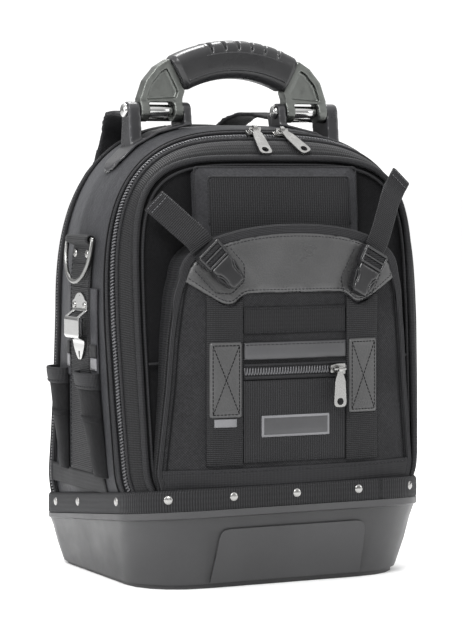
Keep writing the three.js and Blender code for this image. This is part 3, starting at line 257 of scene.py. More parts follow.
# a darker copy of the black nylon: painted shade on the recessed front wall
SHADED_FRONT_CLOTH = nylon_shader("front_nylon_painted_shade", (0.0052, 0.0052, 0.0057))
STRIP = nylon_shader("grey_strip", (0.03, 0.03, 0.033), pitch=0.8, rough=0.5, depth=0.06)
STRAP_CLOTH = nylon_shader("strap_nylon", (0.012, 0.012, 0.013), pitch=1.4, depth=0.3)
RING_STEEL = metal_shader("ring_steel", (0.2, 0.2, 0.196), 0.3)
NICKEL = metal_shader("nickel", (0.33, 0.327, 0.32), 0.24)
POLISHED = metal_shader("polished_steel", (0.5, 0.5, 0.495), 0.18, scratch=0.02)
THREAD = nylon_shader("thread", (0.02, 0.02, 0.022), pitch=0.5, rough=0.6)
PALE_THREAD = nylon_shader("pale_thread", (0.09, 0.09, 0.095), pitch=0.5, rough=0.6)


# ---------------------------------------------------------------- mesh helpers
WELD = 0.00002  # metres between corners that count as one


def placed(name, data):
    """An object for some data, linked into the scene."""
    obj = bpy.data.objects.new(name, data)
    bpy.context.scene.collection.objects.link(obj)
    return obj


def coat(mesh, material):
    """Gives a whole mesh one material and smooth shading."""
    mesh.materials.clear()
    mesh.materials.append(material)
    mesh.polygons.foreach_set("use_smooth", [True] * len(mesh.polygons))


def welded(mesh):
    """A mesh opened for editing, its corners welded."""
    bm = bmesh.new()
    bm.from_mesh(mesh)
    bmesh.ops.remove_doubles(bm, verts=bm.verts, dist=WELD)
    return bm


def mesh_object(name, verts, faces, material, uvs=None):
    mesh = bpy.data.meshes.new(name)
    places = [tuple(float(c) * MM for c in v) for v in verts]
    mesh.from_pydata(places, [], [tuple(int(i) for i in f) for f in faces])
    if uvs is not None:
        layer = mesh.uv_layers.new(name="UVMap")
        index = np.zeros(len(mesh.loops), np.int32)
        mesh.loops.foreach_get("vertex_index", index)
        layer.data.foreach_set("uv", np.asarray(uvs, np.float32)[index].ravel())
    coat(mesh, material)
    mesh.validate()
    return placed(name, mesh)


def facing(part, direction):
    """Turns a part's faces so that on average they look along a direction."""
    verts, faces, uvs = part
    verts = np.asarray(verts, float)
    total = np.zeros(3)
    for f in faces:
        total += np.cross(verts[f[1]] - verts[f[0]], verts[f[2]] - verts[f[0]])
    if total @ np.array(direction, float) < 0:
        faces = [tuple(reversed(f)) for f in faces]
    return verts, faces, uvs


def seat(obj, slot, replaces=(), body="bag"):
    """Puts a piece on its body and hides the CAD nodes that it stands for. The slot is not used."""
    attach(obj, body)
    if replaces:
        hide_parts(*([replaces] if isinstance(replaces, str) else replaces))
    return obj


def piece(name, part, material, slot, replaces=(), body="bag", wall=0.0):
    """Makes one piece out of (verts, faces, uvs), gives a sheet its wall and seats it."""
    verts, faces, uvs = part
    obj = mesh_object(name, verts, faces, material, uvs)
    if wall:
        thicken(obj, wall)
    return seat(obj, slot, replaces, body)


def merge(parts):
    """One part out of several (verts, faces, uvs) parts."""
    verts, faces, uvs, base = [], [], [], 0
    for part_verts, part_faces, part_uvs in parts:
        verts.append(part_verts)
        uvs.append(part_uvs)
        faces += [tuple(i + base for i in f) for f in part_faces]
        base += len(part_verts)
    return np.concatenate(verts), faces, np.concatenate(uvs)


def lengths(path):
    """Distance along a path to each of its points."""
    return np.concatenate([[0], np.cumsum(np.linalg.norm(np.diff(path, axis=0), axis=1))])


def grid(rows, closed=False, flip=False):
    """Quads through rows of points, with UVs in millimetres along and across the rows."""
    rows = np.asarray(rows, float)
    m, n = rows.shape[:2]
    uvs = np.stack(np.meshgrid(lengths(rows[m // 2]), lengths(rows[:, n // 2])), -1).reshape(-1, 2)
    faces = []
    for i in range(m - 1):
        for j in range(n if closed else n - 1):
            k = (j + 1) % n
            quad = (i * n + j, i * n + k, (i + 1) * n + k, (i + 1) * n + j)
            faces.append(quad[::-1] if flip else quad)
    return rows.reshape(-1, 3), faces, uvs


def thicken(obj, thickness):
    mod = obj.modifiers.new("wall", "SOLIDIFY")
    mod.thickness = thickness * MM
    mod.offset = -1.0


def frames(path, up, loop=False):
    """Directions across and out of a path."""
    path = np.asarray(path, float)
    if loop:
        ahead = np.roll(path, -1, 0) - np.roll(path, 1, 0)
    else:
        ahead = np.gradient(path, axis=0)
    ahead /= np.linalg.norm(ahead, axis=1, keepdims=True) + 1e-12
    side = np.cross(ahead, np.broadcast_to(np.asarray(up, float), path.shape))
    side /= np.linalg.norm(side, axis=1, keepdims=True) + 1e-12
    return side, np.cross(side, ahead)


def tube(path, radius, sides, up, loop=False):
    """A round tube along a path."""
    path = np.asarray(path, float)
    side, out = frames(path, up, loop)
    angle = np.arange(sides) * 2 * math.pi / sides
    turn = np.cos(angle)[None, :, None] * side[:, None] + np.sin(angle)[None, :, None] * out[:, None]
    rings = path[:, None] + radius * turn
    if loop:
        rings = np.concatenate([rings, rings[:1]])
    verts, faces, uvs = grid(rings, closed=True, flip=True)
    uvs = uvs[:, ::-1]
    last = len(verts) - sides
    if not loop:
        return verts, faces + [tuple(range(sides)), tuple(reversed(range(last, len(verts))))], uvs
    faces = [tuple(i - last if i >= last else i for i in f) for f in faces]
    return verts[:last], faces, uvs[:last]


def band(path, across, width, thickness, crown=0.0, steps=4):
    """A flat strap along a path, its edges rounded. across gives the direction of its width."""
    path = np.asarray(path, float)
    ahead = np.gradient(path, axis=0)
    ahead /= np.linalg.norm(ahead, axis=1, keepdims=True)
    side = np.broadcast_to(np.asarray(across, float), path.shape)
    side = side - (side * ahead).sum(1, keepdims=True) * ahead
    side = side / np.linalg.norm(side, axis=1, keepdims=True)
    out = np.cross(side, ahead)
    w = np.broadcast_to(np.asarray(width, float), (len(path),)) / 2
    t = np.broadcast_to(np.asarray(thickness, float), (len(path),)) / 2
    spots = np.linspace(-1, 1, 2 * steps + 1)
    lift = 1 + crown * (1 - spots**2)
    edge = np.clip((1 - np.abs(spots)) * 12, 0, 1) ** 0.5
    shape = [(a, e * l) for a, e, l in zip(spots, 0.35 + 0.65 * edge, lift)]
    shape += [(a, -e) for a, e in zip(spots[::-1], (0.35 + 0.65 * edge)[::-1])]
    rows = np.stack([path + a * w[:, None] * side + b * t[:, None] * out for a, b in shape], 1)
    verts, faces, _ = grid(rows, closed=True)
    count = len(shape)
    uvs = np.array([(a * w[i], far) for i, far in enumerate(lengths(path)) for a, _ in shape])
    faces += [tuple(reversed(range(count))), tuple(range(len(verts) - count, len(verts)))]
    return verts, faces, uvs


def resample(points, count, loop=False):
    points = np.asarray(points, float)
    if loop:
        points = np.concatenate([points, points[:1]])
    length = lengths(points)
    spots = np.linspace(0, length[-1], count + (1 if loop else 0))
    made = np.stack([np.interp(spots, length, points[:, k]) for k in range(points.shape[1])], 1)
    return made[:-1] if loop else made


def smooth_line(points, passes, loop=False):
    points = np.array(points, float)
    for _ in range(passes):
        if loop:
            points = 0.5 * points + 0.25 * (np.roll(points, 1, 0) + np.roll(points, -1, 0))
        else:
            points[1:-1] = 0.5 * points[1:-1] + 0.25 * (points[:-2] + points[2:])
    return points


def spline(points, count):
    """A Catmull-Rom curve through points, resampled."""
    p = np.asarray(points, float)
    p = np.concatenate([[2 * p[0] - p[1]], p, [2 * p[-1] - p[-2]]])
    made = []
    for i in range(1, len(p) - 2):
        t = np.linspace(0, 1, 16, endpoint=False)[:, None]
        a, b, c, d = p[i - 1], p[i], p[i + 1], p[i + 2]
        bend, twist = 2 * a - 5 * b + 4 * c - d, 3 * b - a - 3 * c + d
        made.append(0.5 * (2 * b + (c - a) * t + bend * t**2 + twist * t**3))
    made.append(p[-2][None])
    return resample(np.concatenate(made), count)


def stitches(path, up, length=3.0, space=1.5, radius=0.38):
    """A row of short threads that follows a path."""
    path = np.asarray(path, float)
    count = max(2, int(lengths(path)[-1] / (length + space)))
    spots = resample(path, 4 * count + 1)
    up = np.asarray(up, float)
    up = up / np.linalg.norm(up)
    sunk, lift = up * radius * 0.4, 0.25
    share = length / (length + space)
    parts = []
    for i in range(count):
        start, after = spots[4 * i], spots[4 * i + 4]
        end = start + (after - start) * share
        line = np.array([start - sunk, start + (end - start) * 0.5 + up * lift, end - sunk])
        ahead = (after - start) / (np.linalg.norm(after - start) + TINY)
        parts.append(tube(line, radius, 5, up=up if abs(np.dot(up, ahead)) < 0.9 else (1, 0, 0)))
    return parts


def turned(profile, centre, axis, steps):
    """A body of revolution: profile rows are (radius, along) from one end to the other."""
    axis = np.asarray(axis, float) / np.linalg.norm(axis)
    side = np.cross(axis, (0, 0, 1) if abs(axis[2]) < 0.9 else (1, 0, 0))
    side /= np.linalg.norm(side)
    other = np.cross(axis, side)
    angle = np.arange(steps) * 2 * math.pi / steps
    spokes = np.cos(angle)[:, None] * side + np.sin(angle)[:, None] * other
    centre = np.asarray(centre)
    return grid([centre + axis * along + radius * spokes for radius, along in profile], closed=True)


def dressed(name, node, material, slot, bevel, body="bag", angle=30):
    """A copy of a CAD node's mesh with its edges rounded."""
    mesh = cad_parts[node].data.copy()
    obj = placed(name, mesh)
    bm = welded(mesh)
    bmesh.ops.dissolve_limit(bm, angle_limit=math.radians(1), verts=bm.verts, edges=bm.edges)
    bm.to_mesh(mesh)
    bm.free()
    coat(mesh, material)
    mod = obj.modifiers.new("edges", "BEVEL")
    mod.width = bevel * MM
    mod.segments = 3
    mod.limit_method = "ANGLE"
    mod.angle_limit = math.radians(angle)
    obj.modifiers.new("normals", "WEIGHTED_NORMAL").keep_sharp = True
    return seat(obj, slot, node, body)


def softened(name, node, material, slot, voxel, passes, body="bag"):
    """A CAD solid melted into one smooth form: remeshed finely, then relaxed."""
    bm = welded(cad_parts[node].data)
    rough = bpy.data.meshes.new(name)
    bm.to_mesh(rough)
    bm.free()
    obj = placed(name, rough)
    remesh = obj.modifiers.new("voxels", "REMESH")
    remesh.mode = "VOXEL"
    remesh.voxel_size = voxel * MM
    remesh.use_smooth_shade = True
    relax = obj.modifiers.new("relax", "SMOOTH")
    relax.iterations = passes
    relax.factor = 0.5
    mesh = bpy.data.meshes.new_from_object(obj.evaluated_get(bpy.context.evaluated_depsgraph_get()))
    obj.modifiers.clear()
    obj.data = mesh
    bpy.data.meshes.remove(rough)
    coat(mesh, material)
    return seat(obj, slot, node, body)


def pillow(outline, face, thickness, edge, step, lift, dent=None):
    """A flat sewn piece with its edge rounded down: outline in (x, z), face gives y for x and z."""
    outline = np.asarray(outline, float)
    lo, hi = outline.min(0), outline.max(0)
    xs = np.arange(lo[0] + step / 2, hi[0], step)
    zs = np.arange(lo[1] + step / 2, hi[1], step)
    inner = np.stack(np.meshgrid(xs, zs), -1).reshape(-1, 2)
    a, b = outline, np.roll(outline, -1, 0)

    def distance(points):
        d = b - a
        t = np.clip(((points[:, None] - a) * d).sum(2) / ((d * d).sum(1) + TINY), 0, 1)
        return np.linalg.norm(points[:, None] - (a + t[..., None] * d), axis=2).min(1)

    def inside(points):
        x, z = points[:, 0, None], points[:, 1, None]
        meets = (b[:, 0] - a[:, 0]) * (z - a[:, 1]) / (b[:, 1] - a[:, 1] + 1e-12) + a[:, 0]
        return (((a[:, 1] > z) != (b[:, 1] > z)) & (x < meets)).sum(1) % 2 == 1

    inner = inner[inside(inner)]
    if len(inner):
        inner = inner[distance(inner) > max(step * 0.5, edge * 1.2)]
    chord = b - np.roll(a, 1, 0)
    normal = np.stack([chord[:, 1], -chord[:, 0]], 1)
    normal /= np.linalg.norm(normal, axis=1, keepdims=True) + TINY
    area = (a[:, 0] * b[:, 1] - b[:, 0] * a[:, 1]).sum()
    normal *= -1 if area > 0 else 1
    rims = []
    for share in (0.35, 1.0):
        rim = a + normal * edge * share
        keep = inside(rim) & (distance(rim) > edge * share * 0.6)
        rims.append(rim[keep])
    points = np.concatenate([outline, *rims, inner])
    count = len(outline)
    loop = [(i, (i + 1) % count) for i in range(count)]
    corners = [Vector(p) for p in points]
    verts, _, faces, _, _, _ = delaunay_2d_cdt(corners, loop, [list(range(count))], 1, 1e-4)
    flat = np.array([tuple(v) for v in verts])
    d = distance(flat)
    rise = thickness * np.clip(d / edge, 0, 1) ** 0.6
    if dent is not None:
        rise = rise - dent(flat)
    y = np.array([face(x, z) for x, z in flat])
    front = np.column_stack([flat[:, 0], y - lift - rise, flat[:, 1]])
    back = np.column_stack([flat[:, 0], y - lift, flat[:, 1]])
    at_rim = d < 1e-3
    mapping = np.arange(len(flat))
    mapping[~at_rim] = len(flat) + np.arange((~at_rim).sum())
    made = []
    for f in faces:
        p, q, r = (front[i] for i in f[:3])
        order = list(f) if np.cross(q - p, r - p)[1] < 0 else list(reversed(f))
        made.append(tuple(order))
        if any(not at_rim[i] for i in order):
            made.append(tuple(int(mapping[i]) for i in reversed(order)))
    return np.concatenate([front, back[~at_rim]]), made, np.concatenate([flat, flat[~at_rim]])


def rounded(corners, steps=6):
    """An outline with rounded corners, each given as (x, z, radius)."""
    points = []
    count = len(corners)
    for i, (x, z, r) in enumerate(corners):
        p = np.array([x, z], float)
        if r <= 0:
            points.append(p)
            continue
        before = np.array(corners[i - 1][:2], float) - p
        after = np.array(corners[(i + 1) % count][:2], float) - p
        a = p + before / np.linalg.norm(before) * r
        b = p + after / np.linalg.norm(after) * r
        for t in np.linspace(0, 1, steps + 1):
            points.append((1 - t) ** 2 * a + 2 * t * (1 - t) * p + t**2 * b)
    return np.array(points)


def dense(outline, step=4.0, loop=True):
    """Adds points along the long edges of an outline and keeps its corners."""
    outline = np.asarray(outline, float)
    made = []
    ends = np.roll(outline, -1, 0) if loop else outline[1:]
    for p, q in zip(outline, ends):
        n = max(1, int(np.linalg.norm(q - p) / step))
        made += [p + (q - p) * i / n for i in range(n)]
    if not loop:
        made.append(outline[-1])
    return np.array(made)


# ---------------------------------------------------------------- the bag's own shape
GAP = 0.3
BODY_FRONT, BODY_REAR = -90.0, 132.9
BODY_HALF, BODY_TOP, WAIST, LEAN = 170.0, 450.0, 255.0, 0.085
FRONT_ZIP, CENTRE_FRONT, CENTRE_REAR, REAR_BAY = -70.0, -59.0, 87.0, 98.0
TUB_HALF, TUB_FRONT, TUB_REAR = 160.0, -144.0, 136.0
CORNER_FRONT, CORNER_REAR = 65.0, 45.0
RIM_FRONT, RIM_REAR, BELT_HEIGHT = 80.0, 48.0, 20.0

# at, half, top, power, bulge, lean: shares from the front of the cloth body to its back
SECTIONS = np.array([
    (0, 0.885, 0.922, 4.9, 0.98, 1), (0.055, 0.945, 0.957, 3.5, 0.975, 1), (0.14, 0.99, 0.979, 3.05, 0.96, 1),
    (0.2, 0.99, 0.993, 2.95, 0.97, 0.45), (0.3, 0.985, 1, 2.95, 0.98, 0), (0.51, 0.97, 1, 2.9, 1, 0),
    (0.65, 0.935, 1, 2.8, 1.02, 0), (0.8, 0.905, 1, 2.6, 1.05, 0), (0.93, 0.865, 0.98, 2.6, 1.06, 0),
    (1, 0.79, 0.93, 2.6, 1.05, 0)])
_at = np.linspace(0, 1, 224)
_table = smooth_line(np.stack([np.interp(_at, SECTIONS[:, 0], SECTIONS[:, k]) for k in range(1, 6)], 1), 10)


def rim_at(y):
    return RIM_FRONT + (RIM_REAR - RIM_FRONT) * (y - TUB_FRONT) / (TUB_REAR - TUB_FRONT)


def plan_half(y, inset):
    """Half width of the tub at a place between front and back."""
    radius = CORNER_FRONT if y < 0 else CORNER_REAR
    centre = TUB_FRONT + radius if y < 0 else TUB_REAR - radius
    into = abs(y - centre) if (y < centre) == (y < 0) else 0.0
    r = radius - inset
    return TUB_HALF - radius + math.sqrt(max(0.0, r * r - into * into)) - 0.4


def arch_line(y, inset=0.0, count=161):
    """The cloth body's outline at a place between front and back, from the left foot over the top."""
    at = min(1.0, max(0.0, (y - BODY_FRONT) / (BODY_REAR - BODY_FRONT)))
    half, top, power, bulge, lean = (np.interp(at, _at, _table[:, k]) for k in range(5))
    low = half * bulge * BODY_HALF - inset
    half = half * BODY_HALF - inset
    top = top * BODY_TOP - inset
    lean *= LEAN
    foot_y = y - lean * (BODY_TOP - rim_at(y))
    foot = min(low, plan_half(foot_y, 2.8) - inset)
    belt_top = rim_at(foot_y) + BELT_HEIGHT + GAP
    side = [(foot, rim_at(foot_y) + GAP), (foot, belt_top), (foot + (low - foot) * 0.65, belt_top + 5),
            (low, belt_top + 20), (low + (half - low) * 0.6, (belt_top + 20 + WAIST) / 2)]
    a = np.linspace(0, math.pi / 2, 30)
    across = half * np.maximum(np.cos(a), 0) ** (2 / power)
    right = np.concatenate([side, np.stack([across, WAIST + (top - WAIST) * np.sin(a) ** (2 / power)], 1)])
    right[-1, 0] = 0
    line = np.concatenate([right * (-1, 1), right[-2::-1]])
    line = smooth_line(resample(line, count), 3)
    return np.column_stack([line[:, 0], y - lean * (BODY_TOP - line[:, 1]), line[:, 1]])


_side_cache = {}


def side_x(z, y):
    """Half width of the body at a height and a depth."""
    key = round(float(y), 1)
    if key not in _side_cache:
        line = arch_line(key)
        half = line[len(line) // 2:][::-1]
        _side_cache[key] = (half[:, 2], half[:, 0])
    return float(np.interp(z, *_side_cache[key]))


def top_z(x, y):
    """Height of the body's arch."""
    line = arch_line(y)
    half = line[len(line) // 2:]
    return float(np.interp(abs(x), half[:, 0], half[:, 2]))


def shrink(rows, amount, scale, seed):
    """Dents a grid of rows inwards, between nothing and the amount, by slow noise."""
    rows = np.array(rows, float)
    normal = np.cross(np.gradient(rows, axis=1), np.gradient(rows, axis=0))
    normal /= np.linalg.norm(normal, axis=2, keepdims=True) + TINY
    for i, j in np.ndindex(*rows.shape[:2]):
        x, y, z = rows[i, j] / scale
        rows[i, j] -= normal[i, j] * amount * (0.5 + 0.5 * noise.noise(Vector((x + seed, y, z))))
    return rows


def cord(name, path, radius, material, slot="nylon", sides=8, up=FORWARD, body="bag"):
    """A tube along a path as a piece of its own."""
    piece(name, tube(path, radius, sides, up=up), material, slot, body=body)


def skin(name, ys, insets, material, slot, replaces, wall=3.0, dent=0.0, seed=0.0):
    """A shell that follows the body's outline from place to place between front and back."""
    rows = np.array([arch_line(y, i) for y, i in zip(ys, insets)])
    if dent:
        rows = shrink(rows, dent, 60, seed)
    piece(name, grid(rows), material, slot, replaces, wall=wall)


def edge_roll(name, y, inset, radius, sides, material):
    cord(name, arch_line(y, inset, 241), radius, material, sides=sides, up=BACKWARD)


def coil(name, path):
    """A zip's teeth: a wire wound round a path, flattened in the zip's plane."""
    pitch, radius, wire, flat = 3.1, 2.35, 0.78, 0.6
    turns = lengths(path)[-1] / pitch
    spots = resample(path, int(turns * 8))
    side, out = frames(spots, BACKWARD)
    a = np.linspace(0, turns * 2 * math.pi, len(spots))[:, None]
    line = spots + radius * (np.cos(a) * out + flat * np.sin(a) * side)
    cord(name, line, wire, COIL, "zip_tape", 4, BACKWARD)


def wall_sheet(name, y, inset, material, seed, forward=True):
    """The flat front or back of the cloth body inside its edge."""
    line = arch_line(y, inset, 241)
    half = line[len(line) // 2:][::-1]
    columns = 45
    rows = []
    for z in np.linspace(half[0, 2], half[-1, 2] - 0.4, 70):
        h, depth = (np.interp(z, half[:, 2], half[:, k]) for k in (0, 1))
        x = np.linspace(-h, h, columns)
        rows.append(np.column_stack([x, np.full(columns, depth), np.full(columns, z)]))
    piece(name, grid(shrink(rows, 2.64, 75, seed), flip=not forward), material, "nylon", wall=3.0)


def build_body():
    steps = np.linspace(0, 1, 8)
    tuck = 0.6 - 0.9 * np.sin(math.pi * steps)
    skin("front_gusset", -86.5 + 16.2 * steps, tuck, GROSGRAIN, "nylon", "front_bay")
    # the front wall in the darker nylon copy, painted shade of its recess
    wall_sheet("front_wall", BODY_FRONT + 3, 5, SHADED_FRONT_CLOTH, 3.1)
    seam_z = 222
    for name, sign in SIDES:
        x = np.linspace(141, 119, 8) * sign
        y = np.full(8, face_behind(seam_z, 0.2))
        cord("front_seam_" + name, np.column_stack([x, y, seam_z - 0.02 * np.abs(x)]), 1.1, BINDING)
    for roll in (("front_edge", BODY_FRONT + 2.4, 2.2, 3.3, 10, BINDING),
                 ("front_edge_inner", BODY_FRONT + 1.6, 8.2, 1.5, 8, BINDING),
                 ("zip_edge_front_a", -71.2, -0.2, 1.7, 8, BINDING),
                 ("zip_edge_front_b", -58.2, -0.2, 1.9, 8, BINDING),
                 ("centre_seam_front", -52.6, 0.3, 0.9, 6, NYLON),
                 ("centre_seam_rear", 81.0, 0.3, 0.9, 6, NYLON),
                 ("zip_edge_rear_a", 86.4, -0.2, 1.9, 8, BINDING),
                 ("zip_edge_rear_b", 99.0, -0.2, 1.7, 8, BINDING)):
        edge_roll(*roll)
    for name, a, b in (("front", FRONT_ZIP, CENTRE_FRONT), ("rear", CENTRE_REAR, REAR_BAY)):
        ys = np.linspace(a + 0.2, b - 0.2, 5)
        skin(name + "_zip_tape", ys, [1.6] * 5, ZIP_TAPE, "zip_tape", name + "_zip", wall=2.0)
        coil(name + "_zip_coil", arch_line((a + b) / 2, 0.5, 400))
    ys = np.linspace(CENTRE_FRONT + 0.6, CENTRE_REAR - 0.6, 40)
    puff = 0.5 + 0.5 * (2 * (ys - ys[0]) / (ys[-1] - ys[0]) - 1) ** 4
    # the centre shell's lighter grey is painted sheen
    skin("centre_shell", ys, puff, NYLON_SMOOTH_SHEEN, "nylon", "centre_frame", dent=1.3, seed=2.0)
    steps = np.linspace(0, 1, 14)
    ys = REAR_BAY + 0.8 + (BODY_REAR - REAR_BAY - 2.2) * steps
    skin("rear_shell", ys, 0.3 + 1.8 * steps**6, NYLON, "nylon", "rear_bay", dent=1.2, seed=5.0)
    edge_roll("rear_edge", BODY_REAR - 2.4, 2.2, 3.0, 10, BINDING)
    wall_sheet("rear_wall", BODY_REAR - 1.5, 4, NYLON, 7.7, forward=False)


# ---------------------------------------------------------------- front pocket and what is sewn on it
POCKET_FRONT, POCKET_TOP, SHOULDER, SHOULDER_HALF = -140.6, 352.0, 305.0, 118.5
# height and half width as shares of the shoulder's
POCKET_SIDES = np.array([(0, 1.16), (0.34, 1.165), (0.37, 1.195), (0.64, 1.125), (0.8, 1.095), (0.94, 1.05),
                         (1, 1)])
# where each buckle starts and the point that it aims at, in (x, z)
BUCKLES = {"left": ((-97, 330), (-65, 295)), "right": ((86, 325), (66, 289))}


def pocket_y(x, z=0.0):
    """Depth of the pocket's front. Its height makes no difference, but pillow gives one."""
    return POCKET_FRONT + 20 * (abs(x) / 143.0) ** 3


def pocket_edge(inset, count=181):
    """Outline of the pocket's front from its left foot over the arc to its right foot."""
    zs = np.linspace(rim_at(-120) + 0.5, SHOULDER, 40)
    halves = np.interp(zs / SHOULDER, POCKET_SIDES[:, 0], POCKET_SIDES[:, 1])
    side = np.column_stack([halves * SHOULDER_HALF - inset, zs])
    a = np.linspace(0, math.pi / 2, 30)[1:]
    arc = np.column_stack([(SHOULDER_HALF - inset) * np.cos(a) ** 0.95,
                           SHOULDER + (POCKET_TOP - inset - SHOULDER) * np.sin(a) ** 0.95])
    arc[-1, 0] = 0
    right = np.concatenate([side, arc])
    line = np.concatenate([right * (-1, 1), right[-2::-1]])
    return smooth_line(resample(line, count), 4)


def face_behind(z, ahead=GAP):
    """Depth of the body's front, which leans back."""
    return BODY_FRONT - ahead - LEAN * (BODY_TOP - z)


def on_pocket(points, lift):
    """Puts (x, z) points on the pocket's front."""
    points = np.asarray(points, float)
    return np.column_stack([points[:, 0], [pocket_y(x) - lift for x in points[:, 0]], points[:, 1]])


def pocket_row(x0, x1, z, lift, step=5):
    """A level line on the pocket's front."""
    return on_pocket(dense([(x0, z), (x1, z)], step, False), lift)


def layer(name, outline, lift, thickness, material, slot, replaces=(), edge=0.8, step=6.0, dent=None):
    """A flat piece that is sewn on the pocket's front."""
    part = pillow(dense(outline), pocket_y, thickness, edge, step, lift, dent)
    piece(name, part, material, slot, replaces)


def box_outline(x0, x1, z0, z1, r=0.0):
    return rounded([(x0, z0, r), (x1, z0, r), (x1, z1, r), (x0, z1, r)])


def patch_outline(grow=0.0):
    tip = (SHOULDER_HALF - 5 + grow, SHOULDER - 7 - grow)
    right = [(55, 286 - grow), (67, 274 - grow), (79, 277 - grow), tip]
    left = [(-x, z) for x, z in right][::-1]
    arc = [p for p in pocket_edge(8.0 - grow, 121) if p[1] > SHOULDER - 3]
    return np.concatenate([smooth_line(dense(left + right, 4, loop=False), 3), arc[::-1]])


def sew(name, paths, material, slot="nylon", up=FORWARD, **sizes):
    """Rows of stitches as one piece."""
    piece(name, merge([part for path in paths for part in stitches(path, up, **sizes)]), material, slot)


def build_pocket():
    # front panel as levels between the side edges
    edge = pocket_edge(0.8)
    half = edge[len(edge) // 2:][::-1]
    columns = 61
    rows = []
    for z in np.concatenate([np.linspace(half[0, 1], 300, 46), np.linspace(303, half[-1, 1] - 0.5, 26)]):
        h = np.interp(z, half[:, 1], half[:, 0])
        x = np.linspace(-h, h, columns)
        rows.append(np.column_stack([x, [pocket_y(v) for v in x], np.full(columns, z)]))
    part = grid(shrink(rows, 2.0, 60, 9.0))
    piece("pocket_face", part, POCKET_CLOTH, "nylon", "front_pocket", wall=2.4)
    # gusset from the face back to the bag, from foot to foot over the arc
    t = np.linspace(0, 1, 11)
    tuck = 1.8 * np.sin(math.pi * t) + 0.5 * np.sin(math.pi * 3 * t)
    rows = []
    for x, z in pocket_edge(0.4, 261):
        front, back = pocket_y(x) + 0.6, face_behind(z) + 0.2
        inward = np.array([0, 250.0]) - (x, z)
        inward /= np.linalg.norm(inward)
        rows.append(np.column_stack([x + inward[0] * tuck, front + (back - front) * t, z + inward[1] * tuck]))
    verts, faces, uvs = facing(grid(np.array(rows)), UP)
    piece("pocket_gusset", (verts, faces, uvs[:, ::-1]), GROSGRAIN, "nylon", wall=2.0)
    # heavy binding along the arc and a slim seam down the sides
    line = pocket_edge(4.6, 301)
    path = on_pocket(line, 0.3)
    across = np.cross(np.broadcast_to(np.array(FORWARD, float), path.shape), np.gradient(path, axis=0))
    width = 5.2 + 4.4 * np.clip((line[:, 1] - 262) / 45, 0, 1)
    piece("pocket_binding", band(path, across, width, 3.4, crown=0.35), BINDING, "nylon")
    outer = pocket_edge(1.4, 301)
    for name, sign in SIDES:
        seam = [(x - sign * 9.5, z) for x, z in outer if z < SHOULDER - 8 and x * sign > 0]
        cord("pocket_seam_" + name, on_pocket(seam, 0.25), 0.7, NYLON_DARK, sides=6)
    foot = rounded([(-134, 87, 0), (134, 87, 0), (136, 118, 0), (-136, 118, 0)])
    layer("pocket_foot_band", foot, 0.25, 0.9, BINDING, "nylon", edge=1.2, step=7)
    sew("pocket_foot_stitches", [pocket_row(-133, 133, 115, 1.2, 6)], THREAD)


def buckle_axes(side):
    """Start and aim of a buckle in (x, z), and its directions along and across."""
    a, b = (np.array(spot, float) for spot in BUCKLES[side])
    d = (b - a) / np.linalg.norm(b - a)
    return a, b, d, np.array([-d[1], d[0]])


def buckle_dents(flat):
    """Depth of the leather under the two buckles."""
    total = np.zeros(len(flat))
    for side in BUCKLES:
        a, b, _, _ = buckle_axes(side)
        d = b - a
        t = np.clip(((flat - a) @ d) / (d @ d), -0.1, 1.08)
        distance = np.linalg.norm(flat - (a + t[:, None] * d), axis=1)
        total += 0.75 * np.clip((21 - distance) / 3, 0, 1)
    return total


def patch_foot(x):
    """Height of the yoke's lower edge."""
    return np.interp(abs(x), [0, 55, 67, 79, 115], [285, 285, 273, 277, 304])


